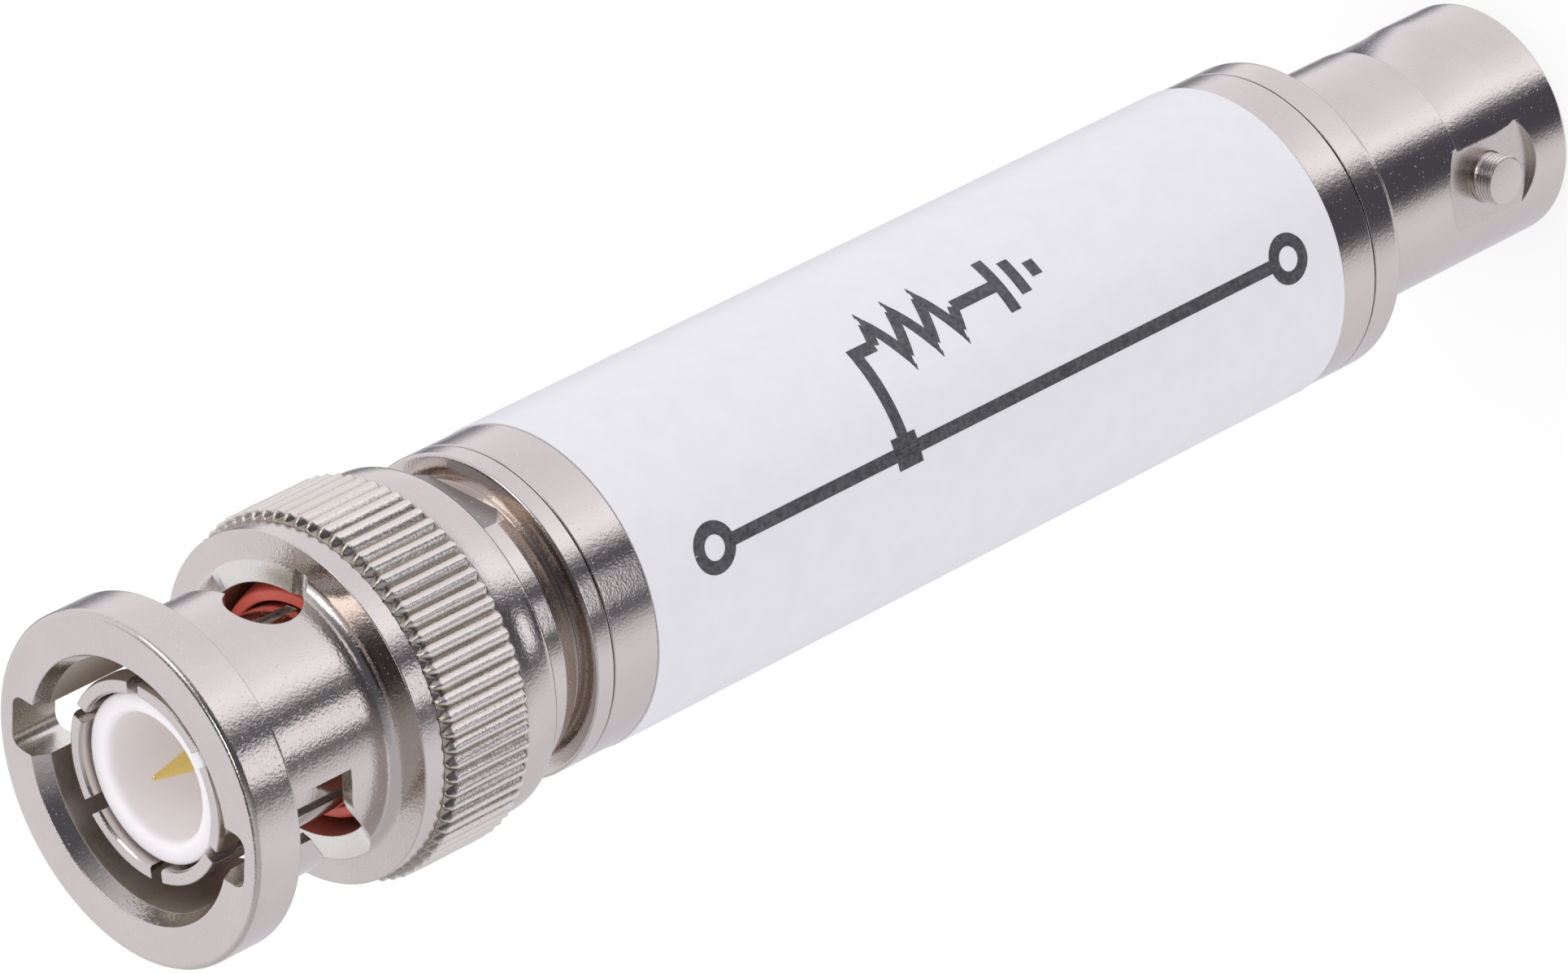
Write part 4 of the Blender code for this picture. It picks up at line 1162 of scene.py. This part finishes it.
def glow_card(name, near, far, inner, outer):
    """A bright card on the floor that only reflections see, brighter away from the part."""
    bm = bmesh.new()
    rows = []
    for radius in (inner, outer):
        row = []
        for k in range(9):
            row.append(bm.verts.new(polar(radius, near + (far - near) * k / 8, 0.5)))
        rows.append(row)
    for k in range(8):
        bm.faces.new((rows[0][k], rows[0][k + 1], rows[1][k + 1], rows[1][k]))
    mesh = mesh_from(name, bm)
    material = bpy.data.materials.new(name)
    material.use_nodes = True
    tree = material.node_tree
    tree.nodes.remove(tree.nodes["Principled BSDF"])
    glow = node(material, "ShaderNodeEmission")
    clear = node(material, "ShaderNodeBsdfTransparent")
    mix = node(material, "ShaderNodeMixShader")
    distance = node(material, "ShaderNodeVectorMath")
    distance.operation = "LENGTH"
    link(material, object_space(material), distance.inputs[0])
    share = spread(material, distance.outputs["Value"], inner * MM, 0.090, 0.0, 1.0)
    turn = tree.nodes.new("ShaderNodeTexGradient")
    turn.gradient_type = "RADIAL"
    link(material, object_space(material), turn.inputs["Vector"])
    middle = (near + far) / 2
    half = (far - near) / 2
    stops = [(0.0, 0.0)]
    for offset, tone in ((-1.0, 0.0), (-0.6, 1.0), (0.6, 1.0), (1.0, 0.0)):
        stops.append(((middle + offset * half + 180) / 360, tone))
    stops.append((1.0, 0.0))
    sides = ramp(tree, stops)
    link(material, turn.outputs["Fac"], sides.inputs["Fac"])
    both = scalar(tree, "MULTIPLY", share, sides.outputs["Color"])
    glow.inputs["Strength"].default_value = 1.3
    glow.inputs["Color"].default_value = ROOM_TINT
    link(material, both, mix.inputs[0])
    link(material, clear.outputs[0], mix.inputs[1])
    link(material, glow.outputs[0], mix.inputs[2])
    link(material, mix.outputs[0], tree.nodes["Material Output"].inputs["Surface"])
    mesh.materials.append(material)
    item = bpy.data.objects.new(name, mesh)
    item.visible_camera = False
    item.visible_diffuse = False
    item.visible_shadow = False
    item.visible_transmission = False
    bpy.context.scene.collection.objects.link(item)


# Tone of the room round the part, as (azimuth in degrees, tone), which only reflections show
ROOM = (
    (-180.0, 0.58),
    (-175.6, 0.40),
    (-165.6, 0.18),
    (-156.0, 0.60),
    (-148.0, 0.84),
    (-140.0, 0.86),
    (-122.0, 0.74),
    (-95.6, 0.78),
    (-75.6, 0.83),
    (-55.6, 0.88),
    (-35.6, 0.95),
    (-21.6, 0.92),
    (-11.6, 0.72),
    (-5.6, 0.30),
    (0.4, 0.12),
    (4.4, 0.09),
    (36.0, 0.09),
    (40.4, 0.18),
    (44.4, 0.45),
    (50.4, 1.20),
    (58.4, 1.35),
    (74.4, 1.14),
    (94.4, 1.03),
    (114.4, 1.00),
    (144.4, 1.03),
    (164.4, 1.08),
    (172.4, 1.03),
    (180.0, 0.58),
)

# The same above the horizon
UPPER_ROOM = (
    (-180.0, 1.00),
    (-141.0, 0.97),
    (-125.0, 0.80),
    (-100.0, 0.62),
    (-20.0, 0.60),
    (0.0, 0.35),
    (20.0, 0.10),
    (60.0, 0.10),
    (80.0, 0.30),
    (100.0, 0.60),
    (130.0, 0.90),
    (180.0, 1.00),
)

# Level direction across the dark strip that runs over the part from the camera's side
ACROSS_STRIP = (0.624, -0.782, 0.0)


def along(tree, direction, axis):
    """Share of a direction along an axis."""
    made = tree.nodes.new("ShaderNodeVectorMath")
    made.operation = "DOT_PRODUCT"
    made.inputs[1].default_value = axis
    tree.links.new(direction, made.inputs[0])
    return made.outputs["Value"]


def room_tone(tree, direction):
    """Tone of the room that reflections show, from its direction."""
    turn = tree.nodes.new("ShaderNodeTexGradient")
    turn.gradient_type = "RADIAL"
    tree.links.new(direction, turn.inputs["Vector"])
    tones = []
    for stops in (ROOM, UPPER_ROOM):
        made = ramp(tree, [((azimuth + 180) / 360, tone) for azimuth, tone in stops])
        tree.links.new(turn.outputs["Fac"], made.inputs["Fac"])
        tones.append(made.outputs["Color"])
    height = along(tree, direction, (0, 0, 1))
    both = tree.nodes.new("ShaderNodeMix")
    both.data_type = "RGBA"
    tree.links.new(range_node(tree, height, -0.35, 0.10, 0.0, 1.0), both.inputs["Factor"])
    tree.links.new(tones[0], both.inputs[6])
    tree.links.new(tones[1], both.inputs[7])
    aside = scalar(tree, "ABSOLUTE", along(tree, direction, ACROSS_STRIP))
    strip = range_node(tree, aside, 0.15, 0.40, 1.0, 0.0)
    above = range_node(tree, height, 0.68, 0.80, 0.0, 0.93)
    share = scalar(tree, "SUBTRACT", 1.0, scalar(tree, "MULTIPLY", strip, above))
    shaded = tree.nodes.new("ShaderNodeVectorMath")
    shaded.operation = "SCALE"
    tree.links.new(both.outputs[2], shaded.inputs[0])
    tree.links.new(share, shaded.inputs["Scale"])
    return shaded.outputs[0]


def world():
    """Even light all round, and a room of softer and darker sides for reflections."""
    made = bpy.data.worlds.new("studio")
    bpy.context.scene.world = made
    made.use_nodes = True
    tree = made.node_tree
    output = tree.nodes["World Output"].inputs["Surface"]
    background = tree.nodes["Background"]
    background.inputs["Color"].default_value = (1, 1, 1, 1)
    background.inputs["Strength"].default_value = 0.99
    white = tree.nodes.new("ShaderNodeBackground")
    white.inputs["Color"].default_value = (1, 1, 1, 1)
    white.inputs["Strength"].default_value = 1.0
    place = tree.nodes.new("ShaderNodeTexCoord")
    tint = tree.nodes.new("ShaderNodeMix")
    tint.data_type = "RGBA"
    tint.blend_type = "MULTIPLY"
    tint.inputs["Factor"].default_value = 1.0
    tint.inputs[7].default_value = ROOM_TINT
    tree.links.new(room_tone(tree, place.outputs["Generated"]), tint.inputs[6])
    room = tree.nodes.new("ShaderNodeBackground")
    tree.links.new(tint.outputs[2], room.inputs["Color"])
    path = tree.nodes.new("ShaderNodeLightPath")
    seen = scalar(
        tree, "MAXIMUM", path.outputs["Is Camera Ray"], path.outputs["Is Transmission Ray"]
    )
    first = tree.nodes.new("ShaderNodeMixShader")
    tree.links.new(path.outputs["Is Glossy Ray"], first.inputs[0])
    tree.links.new(background.outputs[0], first.inputs[1])
    tree.links.new(room.outputs[0], first.inputs[2])
    second = tree.nodes.new("ShaderNodeMixShader")
    tree.links.new(seen, second.inputs[0])
    tree.links.new(first.outputs[0], second.inputs[1])
    tree.links.new(white.outputs[0], second.inputs[2])
    tree.links.new(second.outputs[0], output)


def lamp(name, place, target, size, power):
    data = bpy.data.lights.new(name, "AREA")
    data.shape = "SQUARE"
    data.size = size
    data.energy = power
    item = bpy.data.objects.new(name, data)
    item.location = place
    item.rotation_mode = "QUATERNION"
    item.rotation_quaternion = (Vector(target) - Vector(place)).to_track_quat("-Z", "Y")
    bpy.context.scene.collection.objects.link(item)


def camera():
    data = bpy.data.cameras.new("camera")
    data.sensor_width = 36
    data.lens = CAMERA_LENS
    data.clip_start = 0.01
    data.clip_end = 20
    item = bpy.data.objects.new("camera", data)
    item.rotation_mode = "QUATERNION"
    item.location = CAMERA_PLACE
    item.rotation_quaternion = CAMERA_TURN
    bpy.context.scene.collection.objects.link(item)
    bpy.context.scene.camera = item


def inner_pieces():
    """Pieces inside the tube keep their solids and get their materials."""
    for name, material in {
        "socket_rear_insulator": "resin",
        "plug_rear_insulator": "resin",
        "ground_ring": "copper",
        "through_conductor": "copper",
        "load_resistor_1": "lacquer",
        "load_resistor_2": "lacquer",
        "feed_lead_1": "copper",
        "feed_lead_2": "copper",
        "ground_lead_1": "copper",
        "ground_lead_2": "copper",
    }.items():
        paint(name, material)


camera()
world()
floor()
glow_card("glow_card", 5.0, 31.5, 70.0, 140.0)
lamp("key_lamp", (-0.10, 0.33, 0.42), (0, 0, 0.04), 0.25, 0.35)
lamp("top_lamp", (0.02, 0.02, 0.62), (0, 0, 0.06), 0.16, 0.35)
nut_front()
knurl()
spring_set()
plug()
middle()
socket()
sleeve_print()
inner_pieces()

bpy.context.scene.view_settings.view_transform = "Standard"
